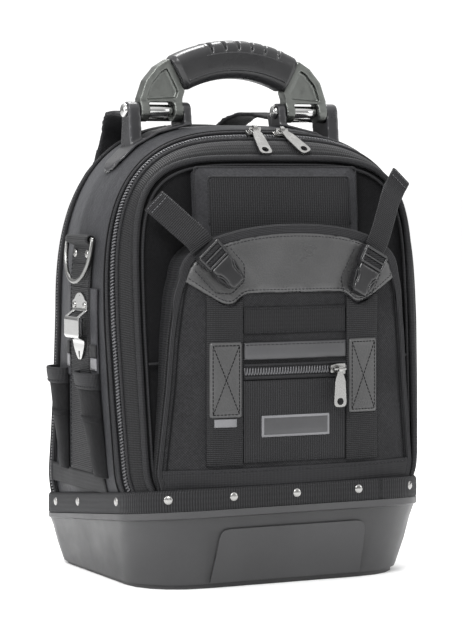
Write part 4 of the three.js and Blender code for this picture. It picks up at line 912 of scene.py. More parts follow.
def build_patches():
    # leather yoke with stitches round its edge and round the buckles
    yoke = patch_outline()
    layer("yoke_patch", yoke, 0.3, 1.9, LEATHER, "patch_leather", "top_patch", 1.6, 3.6, buckle_dents)
    low, arc = patch_outline(-3.2), patch_outline(-3.4)
    rows = [on_pocket(low[low[:, 1] < SHOULDER + 2], 2.1), on_pocket(arc[arc[:, 1] > SHOULDER + 6], 2.1)]
    for side in BUCKLES:
        a, _, d, n = buckle_axes(side)
        ring = [a + d * u + n * v for u, v in ((-2, 20), (40, 20), (52, 9), (52, -9), (40, -20), (-2, -20))]
        ring = dense(ring, 3, loop=False)
        ring = ring[ring[:, 1] < np.interp(np.abs(ring[:, 0]), [0, 60, 90, 115], [340, 334, 321, 302])]
        rows.append(on_pocket(ring, 1.8))
    sew("yoke_stitches", rows, THREAD, "patch_leather", length=2.6, space=1.2, radius=0.4)
    # the two webbings with their leather patches
    for name, sign in SIDES:
        lo, hi = sorted((sign * 56, sign * 93))
        outline = [(lo, 121), (hi, 121)] + [(x, patch_foot(x) - 0.6) for x in np.linspace(hi, lo, 9)]
        layer("pocket_webbing_" + name, outline, 0.3, 1.7, WEBBING, "webbing", "front_webbing_" + name)
        lo, hi = sorted((sign * 58, sign * 91))
        outline = box_outline(lo, hi, 167, 240, 3)
        patch = "strap_patch_" + name
        layer("strap_leather_" + name, outline, 2.2, 1.9, LEATHER, "patch_leather", patch, 2.6, 3)
        a, b, c, d = lo + 3.2, hi - 3.2, 170.4, 236.6
        box = [(a, c), (b, c), (b, d), (a, d), (a, c)]
        rows = [on_pocket(dense(p, 4, loop=False), 4.0) for p in (box, [(a, c), (b, d)], [(a, d), (b, c)])]
        sew("strap_stitches_" + name, rows, NYLON_DARK, "patch_leather", length=2.8, space=0.9, radius=0.5)
    # small woven tag below the left leather patch
    layer("small_tag", box_outline(-86, -63, 158, 166.2, 0.6), 2.2, 1.0, TAG, "label_cloth", step=3)
    # bare name panel, flap, zip and pleated panel between the webbings
    layer("name_panel", box_outline(-55, 55, 247, 272.6), 0.3, 0.9, GROSGRAIN, "nylon")
    sew("name_stitches", [pocket_row(-53, 53, z, 1.3) for z in (248.6, 271)], THREAD)
    flap = box_outline(-55.5, 55.5, 222, 239, 0.8)
    layer("flap", flap, 0.3, 2.3, GREY_CLOTH, "flap_cloth", "zip_flap", 1.4, 4)
    sew("flap_stitches", [pocket_row(-54, 54, 236.6, 2.8)], THREAD)
    tape = box_outline(-55.5, 55.5, 203, 218.5)
    layer("pocket_zip_tape", tape, 0.3, 0.9, ZIP_TAPE, "zip_tape", "pocket_zip", 0.6, 4)
    turns = 110.0 / 2.9
    spots = resample(pocket_row(-55, 55, 211, 1.7, 1.0), int(turns * 8))
    a = np.linspace(0, turns * 2 * math.pi, len(spots))
    spiral = spots + np.column_stack([np.zeros(len(a)), 0.8 * np.sin(a), 3.3 * np.cos(a)])
    cord("pocket_zip_coil", spiral, 0.62, COIL, "zip_tape", 5)
    for z, name in ((205.2, "low"), (217.0, "high")):
        cord("pocket_zip_lip_" + name, pocket_row(-55, 55, z, 1.0, 4), 1.3, BINDING)
    layer("pleated_panel", box_outline(-55.5, 55.5, 123, 202), 0.25, 0.8, MESH, "nylon", edge=0.6, step=5)
    layer("bare_label", box_outline(-37, 37, 147, 168, 1.2), 1.2, 0.9, TAG, "label_cloth", "label", 0.7, 4)
    field = box_outline(-34.6, 34.6, 149.4, 165.6, 0.5)
    layer("label_field", field, 2.05, 0.35, GREY_CLOTH, "label_cloth", edge=0.4, step=4)


def build_meter_box():
    obj = dressed("meter_pocket", "meter_box", MESH, "nylon", bevel=1.1, angle=20)
    mesh = obj.data
    # sides and bevels in the smooth nylon, whose lighter grey is painted sheen
    mesh.materials.append(NYLON_SMOOTH_SHEEN)
    faces_out = 0.97
    which = [0 if abs(f.normal.y) > faces_out else 1 for f in mesh.polygons]
    mesh.polygons.foreach_set("material_index", which)
    if not mesh.uv_layers:
        mesh.uv_layers.new(name="UVMap")
    uv = mesh.uv_layers[0].data
    for loop in mesh.loops:
        co = mesh.vertices[loop.vertex_index].co / MM
        uv[loop.index].uv = (co.x, co.z)
    front = [mesh.vertices[i].co / MM for f in mesh.polygons if f.normal.y < -faces_out for i in f.vertices]
    front = np.array([tuple(co) for co in front])
    half, top, low = np.abs(front[:, 0]).max(), front[:, 2].max(), 351.0
    slope = np.polyfit(front[:, 2], front[:, 1], 1)
    for name, grow, back in (("inner", 0.0, 0.1), ("outer", 11.6, 7.0)):
        x, z = half + grow, top + grow * 0.8
        rim = smooth_line(dense([(-x, low), (-x, z), (x, z), (x, low)], 3, False), 1)
        path = np.column_stack([rim[:, 0], np.polyval(slope, rim[:, 1]) + back, rim[:, 1]])
        cord("meter_piping_" + name, path, 0.9, BINDING)


# ---------------------------------------------------------------- buckles, their straps, base
# a strap tail's steps from its buckle: across, out and up
TAILS = {
    "left": ((-0.7, 0, 1.4), (-7, -2, 10), (-20, -9, 23), (-31, -17, 35), (-40, -26, 45)),
    "right": ((1, 0.2, 1), (8, -2, 12), (19, -9, 33), (29, -17, 51), (38, -24, 61), (48, -29, 73))}


def build_buckles():
    for side, steps in TAILS.items():
        dressed("buckle_body_" + side, "buckle_" + side, BUCKLE, "hard_plastic", bevel=0.7)
        (bx, bz), (tx, tz) = BUCKLES[side]
        start = pocket_y(bx) - GAP - 1.8 - GAP - 0.9
        slope = (pocket_y(bx + 1) - pocket_y(bx - 1)) / 2
        path = spline([(bx + a, start - o, bz + u) for a, o, u in steps], 60)
        across = (bz - tz, slope * (bz - tz), tx - bx)
        length = lengths(path)
        thick = 1.8 + 1.6 * np.clip((length - length[-1] + 9) / 1.2, 0, 1)
        part = band(path, across, 25, thick, steps=6)
        piece("strap_tail_" + side, part, WEBBING, "webbing", "buckle_strap_" + side)
        # two rows of stitches near the tail's end
        ahead = np.gradient(path, axis=0)[-1]
        ahead /= np.linalg.norm(ahead)
        wide = np.array(across, float)
        wide -= (wide @ ahead) * ahead
        wide /= np.linalg.norm(wide)
        out = np.cross(ahead, wide)
        if out[1] > 0:
            out = -out
        rows = []
        for back in (2.0, 7.5):
            spot = path[np.argmin(np.abs(length - (length[-1] - back)))] + out * 1.6
            rows.append(dense([spot - wide * 10.5, spot + wide * 10.5], 3, False))
        sew("tail_stitches_" + side, rows, PALE_THREAD, "webbing", out, length=2.2, space=1.0, radius=0.4)
        buckle_face(side)


def buckle_face(side):
    """Ladder bars, the strap's turns, the shell with its side windows, drawn as dark plates of painted shade,
    and the two prongs.
    """
    a, _, d, n = buckle_axes(side)
    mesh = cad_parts["buckle_" + side].data
    spots = [mesh.vertices[i].co / MM for f in mesh.polygons if f.normal.y < -0.8 for i in f.vertices]
    spots = np.array([tuple(co) for co in spots])
    flat = np.column_stack([spots[:, 0], spots[:, 2], np.ones(len(spots))])
    plane = np.linalg.lstsq(flat, spots[:, 1], rcond=None)[0]

    def face(x, z):
        return plane[0] * x + plane[1] * z + plane[2]

    def half(u):
        return np.interp(u, (0, 26, 47), (13.4, 12.2, 8.2))

    def on(u, v, out):
        x, z = a + d * u + n * v
        return x, face(x, z) - out, z

    def bar(us, vs, out, radius):
        line = np.array([on(u, v, out) for u, v in zip(us, vs)])
        return tube(line, radius, 10, up=FORWARD)

    def plate(name, corners, thickness, edge, material, lift=0.0):
        outline = dense(rounded([(*(a + d * u + n * v), r) for u, v, r in corners], 4), 1.5)
        slot = "webbing" if material is WEBBING else "hard_plastic"
        piece(f"buckle_{name}_{side}", pillow(outline, face, thickness, edge, 2.0, lift), material, slot)

    shell = [(18, -half(18) + 0.8, 2), (25, -half(25) + 0.6, 2), (28, -8.6, 2), (36.5, -7.2, 2),
             (39.5, -half(40) + 0.7, 2), (46.3, -half(46) + 1, 3)]
    plate("shell", shell + [(u, -v, r) for u, v, r in shell[::-1]], 1.5, 1.6, BUCKLE)
    for s, name in ((-1, "a"), (1, "b")):
        # each side window is a thin dark plate: painted shade where the opening is
        window = [(26.5, s * 8.2, 0.8), (37.5, s * 6.9, 0.8),
                  (38.6, s * (half(38) - 0.9), 1), (26.2, s * (half(26) - 0.9), 1)]
        plate("window_" + name, window, 0.15, 0.3, NYLON_DARK, lift=0.05)
        u = np.linspace(25.5, 39.5, 12)
        bulge = np.sin((u - 25.5) / 14 * math.pi) ** 1.5
        line = np.array([on(x, s * (half(x) - 1.3 - 1.6 * k), 0.5) for x, k in zip(u, bulge)])
        cord(f"buckle_prong_{name}_{side}", line, 0.8, BUCKLE, "hard_plastic")
    parts = []
    for u, radius in ((1.2, 1.4), (9.0, 1.1), (16.2, 1.4)):
        reach = half(u) - 0.9
        parts.append(bar([u] * 9, np.linspace(-reach, reach, 9), 0.6, radius))
    us = np.linspace(1.2, 17.5, 9)
    parts += [bar(us, s * (half(us) - 0.9), 0.4, 1.2) for s in (-1, 1)]
    piece("buckle_bars_" + side, merge(parts), BUCKLE, "hard_plastic")
    for lo, hi, out, name in ((2.6, 8.0, 0.7, "upper"), (10.2, 15.0, 0.35, "lower")):
        turn = [(lo, -11.6, 0.6), (hi, -11.6, 0.6), (hi, 11.6, 0.6), (lo, 11.6, 0.6)]
        plate("strap_" + name, turn, out, 1.2, WEBBING)


def plan_line(inset, count=260):
    """The rounded rectangle of the tub seen from above."""
    xf, yf, rf = TUB_HALF - CORNER_FRONT, TUB_FRONT + CORNER_FRONT, CORNER_FRONT - inset
    xr, yr, rr = TUB_HALF - CORNER_REAR, TUB_REAR - CORNER_REAR, CORNER_REAR - inset
    points = []
    for cx, cy, r, a0 in ((xf, yf, rf, -90), (xr, yr, rr, 0), (-xr, yr, rr, 90), (-xf, yf, rf, 180)):
        for a in np.radians(np.linspace(a0, a0 + 90, 14)):
            points.append((cx + r * math.cos(a), cy + r * math.sin(a)))
    return resample(np.array(points), count, loop=True)


def belt_row(up, inset, count=260):
    """A line round the belt, at a height over the tub's rim."""
    ring = plan_line(inset, count)
    return np.column_stack([ring[:, 0], ring[:, 1], [rim_at(y) + up for y in ring[:, 1]]])


def rivet(centre, axis, r, h):
    profile = [(r * 0.86, -0.4), (r, 0.0), (r, 0.5), (r * 0.93, h * 0.62), (r * 0.72, h * 0.86),
               (r * 0.42, h * 0.99), (0.02, h * 1.03)]
    return turned(profile, centre, axis, 28)


def build_base():
    dressed("tub_shell", "base_tub", TUB, "rubber_base", bevel=1.4, angle=24)
    # belt: height over the rim and how far its edges turn in
    section = ((0.3, 1.4), (1.1, 0.5), (2.3, 0.05), (6, 0.0), (10, -0.1), (14, 0.0), (17.7, 0.05),
               (18.9, 0.5), (19.7, 1.4))
    verts, faces, _ = grid([belt_row(up, 0.5 + inward) for up, inward in section[::-1]], closed=True)
    around = lengths(plan_line(0.5))
    uvs = np.array([(far, i * 2.5) for i in range(len(section)) for far in around])
    piece("base_belt_band", (verts, faces, uvs), BELT, "webbing", "base_belt", wall=1.8)
    parts = []
    for row in (belt_row(up, 0.3, 200) for up in (2.6, 17.4)):
        centre = row.mean(0)
        for p, q in zip(row[:-1:2], row[1::2]):
            outward = (p - centre) * (1, 1, 0)
            outward /= np.linalg.norm(outward)
            parts.append(tube(np.array([p, (p + q) / 2 + outward * 0.25, q]), 0.4, 5, up=outward))
    piece("belt_stitches", merge(parts), THREAD, "webbing")
    # each rivet's cap spans the depth of its CAD node
    axes = [(f"front_{i + 1}", math.radians(turn)) for i, turn in enumerate((-34, 0, 0, 0, 34))]
    axes = [(name, (math.sin(a), -math.cos(a), 0)) for name, a in axes]
    axes += [(f"{side}_{i}", (sign, 0, 0)) for side, sign in SIDES for i in (1, 2, 3)]
    for name, axis in axes:
        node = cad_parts["rivet_" + name]
        box = np.array([tuple(node.matrix_world @ v.co) for v in node.data.vertices]) / MM
        axis = np.array(axis)
        along, middle = box @ axis, box.mean(0)
        centre = middle - axis * (middle @ axis - along.min()) + axis * 0.05
        part = rivet(centre, axis, 4.6, along.max() - along.min() - 0.1)
        piece("rivet_cap_" + name, part, NICKEL, "nickel", "rivet_" + name)


# ---------------------------------------------------------------- handle
HINGE_Z = 463.0
GRIP_CENTRE, GRIP_INNER, GRIP_OUTER, GRIP_DEPTH, GRIP_ARC = 380.0, 116.0, 154.0, 30.0, 28.0
GROOVES = (0.3, 0.405, 0.51, 0.615, 0.72, 0.83)
# profiles along x: radius and distance from the bag's middle
BARREL = ((4.4, 68.2), (5.8, 68.2), (6.3, 68.8), (6.3, 93.2), (5.8, 93.8), (4.4, 93.8), (4.4, 68.2))
ROD = ((0.02, 54.9), (2.3, 54.9), (3.0, 55.6), (3.0, 106.4), (2.3, 107.1), (0.02, 107.1))
PINS = {
    "left": ((0.02, 49.1), (3.4, 49.1), (4.0, 49.7), (4.0, 117.4), (7.0, 117.4), (7.0, 118.6), (6.3, 120.2),
             (4.6, 121.1), (0.02, 121.4)),
    "right": ((0.02, 44.8), (4.6, 45.1), (6.3, 46.0), (7.0, 47.4), (7.0, 48.8), (4.0, 48.8), (4.0, 116.8),
              (3.4, 117.4), (0.02, 117.4))}


def grip_ring(share):
    """One section of the grip, at a share of its arc. Its outer side has grooves for the fingers."""
    around = 56
    groove = sum(4.0 * math.exp(-(((share - at) / 0.0095) ** 2)) for at in GROOVES)
    if 0.26 < share < 0.87:
        groove -= 0.5
    cap = min(share, 1 - share)
    ease = min(1.0, (cap / 0.035)) ** 0.5
    turn = math.radians(-GRIP_ARC + 2 * GRIP_ARC * share)
    ring = []
    for b in np.arange(around) * 2 * math.pi / around:
        ca, sa = math.cos(b), math.sin(b)
        y = math.copysign(abs(ca) ** 0.62, ca) * GRIP_DEPTH / 2 * (0.72 + 0.28 * ease)
        out = math.copysign(abs(sa) ** 0.62, sa) * (GRIP_OUTER - GRIP_INNER) / 2 * (0.8 + 0.2 * ease)
        top = min(1.0, max(0.0, sa - 0.25) * 3)
        r = (GRIP_INNER + GRIP_OUTER) / 2 + out - groove * top
        y -= math.copysign(top * max(groove, 0) * 0.35, y)
        ring.append((r * math.sin(turn), y, GRIP_CENTRE + r * math.cos(turn)))
    return ring


def build_handle():
    softened("handle_bow", "handle_frame", ANODISED, "anodised", voxel=1.0, passes=5, body="handle")
    steps = 320
    rows = np.array([grip_ring(i / steps) for i in range(steps + 1)])
    verts, faces, uvs = grid(rows, closed=True)
    n = rows.shape[1]
    faces += [tuple(reversed(range(n))), tuple(range(len(verts) - n, len(verts)))]
    piece("grip_moulding", (verts, faces, uvs), GRIP, "grip_rubber", "handle_grip", "handle")
    # raised lines on both faces of the grip
    lines = (("low", GRIP_INNER + 9, 1.2, 0.5, (-GRIP_ARC + 2.5, GRIP_ARC - 2.5)),
             ("high", GRIP_OUTER - 12, 0.9, 0.7, (-14, 20.5)))
    for name, s in (("front", -1), ("rear", 1)):
        for which, r, size, sunk, ends in lines:
            turn = np.radians(np.linspace(*ends, 60))
            y = np.full(60, s * (GRIP_DEPTH / 2 - sunk))
            path = np.column_stack([r * np.sin(turn), y, GRIP_CENTRE + r * np.cos(turn)])
            cord(f"grip_line_{name}_{which}", path, size, GRIP, "grip_rubber", up=(0, s, 0), body="handle")
    for side, sign in SIDES:
        softened("bracket_boot_" + side, "bracket_" + side, PLASTIC, "hard_plastic", voxel=1.2, passes=7)
        axis, centre = (sign, 0, 0), (0, 0, HINGE_Z)
        barrel = turned(BARREL, centre, axis, 36)
        piece("hinge_barrel_" + side, barrel, POLISHED, "nickel", "barrel_" + side, "handle")
        pin = turned(PINS[side], centre, axis, 32)
        piece("hinge_bolt_" + side, pin, POLISHED, "polished_steel", "hinge_pin_" + side)
        rod = turned(ROD, (0, 21, 456), axis, 24)
        piece("strap_bar_" + side, rod, NICKEL, "polished_steel", "strap_rod_" + side)


# ---------------------------------------------------------------- sides
# the bar that the D-ring hangs from, and how far the ring leans out in degrees
BAR_X, BAR_Z, RING_LEAN = 167.653, 336.0, 8.226
SLEEVE_FOOT, SLEEVE_TOP = 104.0, 206.0
# a sleeve's front and rear edges at its top and at its foot, then how far it bulges there
SLEEVES = {"front": ((-50, 0), (-58, -32), 13, 5), "rear": ((38, 82), (34, 60), 17, 5)}
CLIP_HALF, CLIP_Y, CLIP_FOOT, CLIP_TOP, CLIP_STAND = 20.0, -9.0, 218.0, 284.0, 9.0
# share of the clip's height, half width as a share of CLIP_HALF, share of CLIP_STAND
CLIP = np.array([
    (0, 0.14, 0), (0.03, 0.28, 0.02), (0.1, 0.46, 0.06), (0.18, 0.62, 0.1), (0.25, 0.7, 0.12),
    (0.29, 0.7, 0.2), (0.33, 0.84, 0.92), (0.36, 0.9, 1), (0.6, 0.9, 1), (0.64, 0.9, 0.92),
    (0.73, 0.88, 0.06), (0.76, 0.9, 0), (0.87, 0.9, 0), (0.9, 0.66, 0), (0.95, 0.5, 0), (1, 0.16, 0)])
# the clip's square window, the slot over it and the split of its tip: from, to, half width, all as shares
CLIP_HOLES = ((0.645, 0.725, 0.68), (0.955, 0.97, 0.12), (-1, 0.13, 0.17))


def sheet(name, rows, out, material, slot, wall, replaces=()):
    """A sheet through rows of points that looks along a direction."""
    return piece(name, facing(grid(np.array(rows)), out), material, slot, replaces, wall=wall)


def side_row(sign, ys, z, lift):
    """Points at one height on the side of the bag."""
    return [(sign * (side_x(z, y) + lift), y, z) for y in ys]


def side_sheet(name, sign, ys, zs, lift, thickness, material, slot, columns, rows):
    """A flat band on the side of the bag, between two depths and two heights."""
    levels = [side_row(sign, np.linspace(*ys, columns), z, lift + thickness) for z in np.linspace(*zs, rows)]
    sheet(name, levels, (sign, 0, 0), material, slot, thickness)


def build_webbing(side, sign):
    """The webbing up the side, which turns round the ring's bar at its top."""
    ys = np.linspace(-30.5, 24.5, 11)
    rows = [side_row(sign, ys, z, 2.0) for z in np.linspace(107.5, 329.5, 56)]
    for t in np.radians(np.linspace(222, -28, 22)):
        x, z = BAR_X - 4.7 * math.cos(t), BAR_Z + 4.7 * math.sin(t)
        rows.append([(sign * x, y, z) for y in ys])
    sheet("side_band_" + side, rows, (sign, 0, 0.2), WEBBING, "webbing", 1.5, "side_webbing_" + side)
    # seams down both edges and across below the loop
    seams = [[side_row(sign, [y], z, 2.2)[0] for z in np.linspace(110, 325, 40)] for y in (-28.4, 22.4)]
    seams += [side_row(sign, np.linspace(-27, 21, 14), z, 2.2) for z in (312, 289)]
    out = (sign, 0, 0)
    sew("side_band_stitches_" + side, seams, THREAD, "webbing", out, length=2.6, space=1.4, radius=0.36)
    for y, name in ((-20.5, "a"), (14.5, "b")):
        centre = side_row(sign, [y], 322, 2.0)[0]
        piece(f"loop_rivet_{side}_{name}", rivet(centre, (sign, 0, 0.05), 4.3, 2.0), NICKEL, "nickel")


def build_sleeve(which, side, sign):
    """An open tool sleeve: its wall, its hem and the fold below."""
    (front_top, rear_top), (front_foot, rear_foot), bulge_top, bulge_foot = SLEEVES[which]

    def ring(z, extra, columns=25):
        share = (z - SLEEVE_FOOT) / (SLEEVE_TOP - SLEEVE_FOOT)
        front = front_foot + (front_top - front_foot) * share
        rear = rear_foot + (rear_top - rear_foot) * share
        bulge = bulge_foot + (bulge_top - bulge_foot) * share
        middle = (front + rear) / 2
        row = []
        for a in np.linspace(0, math.pi, columns):
            y = middle - (rear - middle) * math.cos(a)
            out = bulge * math.sin(a) ** 0.7 + extra * min(1.0, 6 * math.sin(a)) + GAP
            row.append((sign * (side_x(z, y) + out), y, z))
        return row

    wall = [(SLEEVE_FOOT, -bulge_foot * 0.7)]
    for z in np.linspace(SLEEVE_FOOT + 1.5, SLEEVE_TOP, 30):
        wall.append((z, -0.9 * abs(math.sin((z - SLEEVE_FOOT) / 17.0))))
    hem = ((190.5, 0.1), (191.2, 0.9), (196, 1.2), (201, 1.3), (204.8, 1.1), (206.3, 0.2), (206.5, -0.8))
    fold = ((158.5, -0.4), (159.2, 0.7), (161.5, 0.9), (163.8, 0.7), (164.5, -0.4))
    for part, levels, material, thick, replaces in (
            ("wall", wall, NYLON, 1.9, f"sleeve_{which}_{side}"), ("hem", hem, BINDING, 1.1, ()),
            ("fold", fold, NYLON, 0.8, ())):
        rows = [ring(z, extra) for z, extra in levels]
        sheet(f"sleeve_{which}_{part}_{side}", rows, (sign, 0, 0), material, "nylon", thick, replaces)
    rows = [ring(193.0, 1.5, 40)[3:-3]]
    name = f"sleeve_{which}_stitches_{side}"
    sew(name, rows, THREAD, up=(sign, 0, 0), length=2.4, space=1.4, radius=0.34)


def build_ring(side, sign):
    """The ring that hangs in the webbing's loop."""
    lean = math.radians(RING_LEAN)
    a = np.linspace(0, math.pi, 60)
    drop = 42 * np.sin(a) ** 0.8
    arc = [sign * (BAR_X + drop * math.sin(lean)), -3 + 32 * np.cos(a), BAR_Z - drop * math.cos(lean)]
    arc = np.column_stack(arc)
    straight = np.linspace(arc[-1], arc[0], 24)[1:-1]
    path = smooth_line(resample(np.concatenate([arc, straight]), 150, loop=True), 2, loop=True)
    part = tube(path, 2.25, 16, up=(sign * math.cos(lean), 0, -math.sin(lean)), loop=True)
    piece("lanyard_ring_" + side, part, RING_STEEL, "nickel", "d_ring_" + side, "ring_" + side)


def build_side(side, sign):
    build_webbing(side, sign)
    # cloth band over the belt and the grey strips beside the webbing
    side_sheet("side_foot_band_" + side, sign, (-50, 100), (88, 107), 0.3, 1.0, GROSGRAIN, "nylon", 31, 8)
    for y0, y1, name in ((-49.5, -31.6, "front"), (25.6, 37.5, "rear")):
        end = f"{name}_{side}"
        side_sheet("side_strip_" + end, sign, (y0, y1), (200, 289), 0.25, 1.2, STRIP, "nylon", 6, 50)
        ys = (y0 + 1.5, y1 - 1.5)
        side_sheet("side_tab_" + end, sign, ys, (209, 221), 1.6, 1.2, TAG, "label_cloth", 5, 6)
        ys = (y0 + 0.4, y1 - 0.4)
        side_sheet("side_hold_" + end, sign, ys, (221.5, 234), 1.6, 1.4, GROSGRAIN, "webbing", 5, 8)
    for which in SLEEVES:
        build_sleeve(which, side, sign)
    build_ring(side, sign)


def clip_at(up):
    """Half width, distance from the middle of the bag and height of the clip at a share of its height."""
    on_body = side_x(255, CLIP_Y) + GAP + 1.7 + GAP
    half, out = (np.interp(up, CLIP[:, 0], CLIP[:, k]) for k in (1, 2))
    return half * CLIP_HALF, on_body + 2 + out * CLIP_STAND, CLIP_FOOT + (CLIP_TOP - CLIP_FOOT) * up


def build_clip():
    """A bent plate with a square window, two lugs and a split tip on the left side webbing."""
    steps, columns = 70, 24
    rows = []
    for up in np.linspace(0, 1, steps + 1):
        half, x, z = clip_at(up)
        rows.append([(-x, CLIP_Y + half * s, z) for s in np.linspace(-1, 1, columns + 1)])
    verts, faces, uvs = grid(np.array(rows))
    kept = []
    for k, f in enumerate(faces):
        i, j = divmod(k, columns)
        up, s = (i + 0.5) / steps, abs((j + 0.5) * 2 / columns - 1)
        if not any(low < up < high and s < wide for low, high, wide in CLIP_HOLES):
            kept.append(f)
    part = facing((verts, kept, uvs), (-1, 0, 0))
    plate = piece("clip_plate", part, POLISHED, "polished_steel", "tape_clip", wall=1.9)
    edge = plate.modifiers.new("edges", "BEVEL")
    edge.width = 0.35 * MM
    edge.segments = 2
    edge.angle_limit = math.radians(40)
    for name, s in (("front", -1), ("rear", 1)):
        rows = []
        for up in np.linspace(0.35, 0.62, 9):
            half, x, z = clip_at(up)
            rows.append([(0.4 + t - x, CLIP_Y + s * (half - 0.25), z) for t in (0, 1.5, 3, 4.5)])
        sheet("clip_flange_" + name, rows, (0, s, 0), POLISHED, "polished_steel", 1.2)
        _, x, z = clip_at(0.81)
        part = rivet((0.2 - x, CLIP_Y + s * 12.5, z), (-1, 0, 0), 3.4, 1.7)
        piece("clip_rivet_" + name, part, NICKEL, "nickel")


# ---------------------------------------------------------------- back, straps, zip hardware
BACK_HALF, BACK_FOOT, BACK_TOP, BACK_Y = 118, 84, 428, 133.5


def back_channels(flat):
    """Depth of the back padding's upright channel and of its four ribs."""
    x, z = np.abs(flat[:, 0]), flat[:, 1]
    spine = 4.5 * np.exp(-((x / 9.0) ** 2))
    ribs = sum(3.2 * np.exp(-(((z - at) / 5.0) ** 2)) for at in (150, 216, 282, 348))
    return (spine + ribs * np.clip((x - 14) / 8, 0, 1)) * np.clip((BACK_HALF - x) / 12, 0, 1)


def build_back():
    corners = [(-BACK_HALF, BACK_FOOT, 26), (BACK_HALF, BACK_FOOT, 26),
               (BACK_HALF, BACK_TOP, 84), (-BACK_HALF, BACK_TOP, 84)]
    outline = dense(rounded(corners, 12), 6)
    # made facing the front and mirrored to the back
    verts, faces, uvs = pillow(outline, lambda x, z: -BACK_Y, 15.4, 15.0, 5.0, 0.0, back_channels)
    verts[:, 1] *= -1
    part = verts, [tuple(reversed(f)) for f in faces], uvs
    piece("back_padding", part, MESH, "nylon", "back_panel")
    rim = np.column_stack([outline[:, 0], np.full(len(outline), BACK_Y + 1.1), outline[:, 1]])
    part = tube(resample(rim, 220, loop=True), 1.9, 8, up=BACKWARD, loop=True)
    piece("back_piping", part, BINDING, "nylon")


def build_straps(side, sign):
    node = "shoulder_strap_" + side
    obj = softened("shoulder_pad_" + side, node, STRAP_CLOTH, "nylon", voxel=2.2, passes=4)
    # webbing down the middle of the strap's outer face and stitched edges beside it
    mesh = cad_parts[node].data
    faces = [tuple(f.vertices) for f in mesh.polygons]
    tree = BVHTree.FromPolygons([v.co / MM for v in mesh.vertices], faces)
    middle, edges = [], ([], [])
    for z in np.linspace(112, 412, 76):
        hits = []
        for x in np.arange(-150, 151, 1.0):
            spot = tree.ray_cast(Vector((x, 400, z)), Vector(FORWARD))[0]
            if x * sign > 0 and spot is not None:
                hits.append((x, spot.y))
        xs, ys = np.array(hits).T
        x = (xs[0] + xs[-1]) / 2
        middle.append((x, np.interp(x, xs, ys) + 0.5, z))
        for row, x in zip(edges, (xs[0] + 5, xs[-1] - 5)):
            row.append((x, np.interp(x, xs, ys) + 0.4, z))
    middle = smooth_line(resample(np.array(middle), 160), 6)
    piece("shoulder_webbing_" + side, band(middle, (1, 0, 0), 25, 1.6), WEBBING, "webbing")
    rows = [smooth_line(np.array(row), 3) for row in edges]
    sew("shoulder_stitches_" + side, rows, THREAD, up=BACKWARD, length=3.2, space=1.6, radius=0.5)


def build_hardware():
    for name, node in (("zip_runner_left", "zip_slider_left"), ("zip_runner_right", "zip_slider_right"),
                       ("pocket_runner", "pocket_slider"), ("pocket_tab", "pocket_pull"),
                       ("zip_tab_left", "zip_pull_left"), ("zip_tab_right", "zip_pull_right")):
        dressed(name, node, NICKEL, "nickel", bevel=0.4, body=node if "_pull" in node else "bag")


def build_rear_zip():
    """The rear zip's two runners on the top of the arch."""
    y, around = (CENTRE_REAR + REAR_BAY) / 2, 20
    turns = np.linspace(0, 2 * math.pi, around, endpoint=False)
    for x, name in ((-26, "left"), (32, "right")):
        z = top_z(x, y)
        rows = []
        for up, half in ((-0.4, 3.4), (0.6, 4.2), (2.2, 4.2), (3.0, 3.2)):
            rows.append([(x + 7 * math.cos(t), y + half * math.sin(t), z + up) for t in turns])
        verts, faces, uvs = grid(rows, closed=True)
        faces += [tuple(range(around))[::-1], tuple(range(len(verts) - around, len(verts)))]
        piece("rear_runner_" + name, (verts, faces, uvs), NICKEL, "nickel")


# ---------------------------------------------------------------- build
build_body()
build_pocket()
build_patches()
build_meter_box()
build_buckles()
build_base()
build_handle()
for side_name, side_sign in SIDES:
    build_side(side_name, side_sign)
    build_straps(side_name, side_sign)
build_clip()
build_back()
build_hardware()
build_rear_zip()
for node_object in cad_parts.values():
    for material_slot in node_object.material_slots:
        material_slot.link = "OBJECT"
        material_slot.material = NYLON


# ---------------------------------------------------------------- floor, light, camera
EYE, LENS, AZIMUTH, ELEVATION = (-1107.1, -2279.3, 401.0), 140.2, -25.9, 3.38
WHITE = (1, 1, 1, 1)
# name, place in metres, size, power
LAMPS = (("key", (-1.7, -1.9, 2.3), 1.0, 95), ("fill", (2.4, -1.8, 1.0), 1.2, 16),
         ("side", (-2.4, 0.4, 0.9), 0.9, 22), ("top", (0.3, 0.8, 2.4), 1.0, 60))


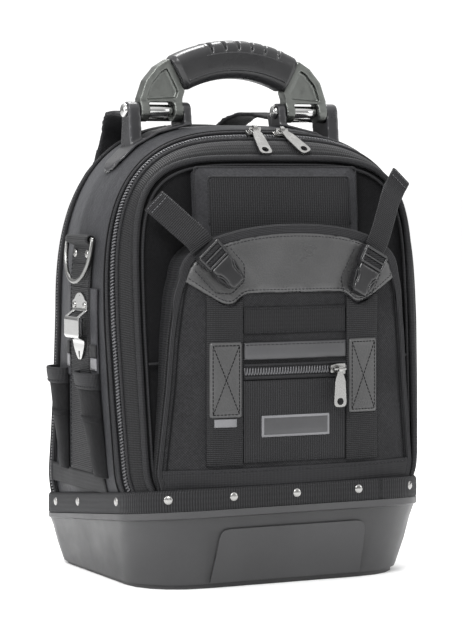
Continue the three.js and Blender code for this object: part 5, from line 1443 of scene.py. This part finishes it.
def build_floor():
    floor = Shader("floor_paper", (0.8, 0.8, 0.8), 0.9, spec=0.1)
    floor.tint(floor.noise(2.0, 2), 0.995, 1.005)
    floor.bsdf.inputs["Emission Color"].default_value = WHITE
    floor.bsdf.inputs["Emission Strength"].default_value = 0.12
    reach = 30000
    corners = [(-reach, -reach, 0), (reach, -reach, 0), (reach, reach, 0), (-reach, reach, 0)]
    mesh_object("floor", corners, [(0, 1, 2, 3)], floor.mat)


def build_sky():
    """White for the camera, and for the bag a soft sweep that is brighter overhead."""
    world = bpy.data.worlds.new("studio")
    world.use_nodes = True
    tree = world.node_tree
    ground = tree.nodes["Background"]
    coord, split, sweep, ray, blend = (tree.nodes.new("ShaderNode" + kind) for kind in (
        "TexCoord", "SeparateXYZ", "MapRange", "LightPath", "Mix"))
    tree.links.new(coord.outputs["Generated"], split.inputs[0])
    tree.links.new(split.outputs[2], sweep.inputs[0])
    for i, value in enumerate((0.1, 0.75, 0.3, 1.35)):
        sweep.inputs[1 + i].default_value = value
    tree.links.new(ray.outputs["Is Camera Ray"], blend.inputs[0])
    tree.links.new(sweep.outputs[0], blend.inputs[2])
    blend.inputs[3].default_value = 1.2
    tree.links.new(blend.outputs[0], ground.inputs[1])
    ground.inputs[0].default_value = WHITE
    bpy.context.scene.world = world


def build_lamps():
    for name, place, size, power in LAMPS:
        data = bpy.data.lights.new(name, "AREA")
        data.shape = "SQUARE"
        data.size = size
        data.energy = power
        lamp = placed(name, data)
        lamp.location = place
        aim = Vector((0, 0, 0.25)) - Vector(place)
        lamp.rotation_euler = aim.to_track_quat("-Z", "Y").to_euler()


def build_camera():
    data = bpy.data.cameras.new("camera")
    data.lens = LENS
    data.sensor_width = 36
    data.clip_end = 100
    eye = placed("camera", data)
    eye.location = Vector(EYE) * MM
    azimuth, elevation = math.radians(AZIMUTH), math.radians(ELEVATION)
    flat = math.cos(elevation)
    look = Vector((-math.sin(azimuth) * flat, math.cos(azimuth) * flat, -math.sin(elevation)))
    eye.rotation_euler = look.to_track_quat("-Z", "Y").to_euler()
    bpy.context.scene.camera = eye


build_floor()
build_sky()
bpy.context.scene.view_settings.view_transform = "Standard"
build_lamps()
build_camera()
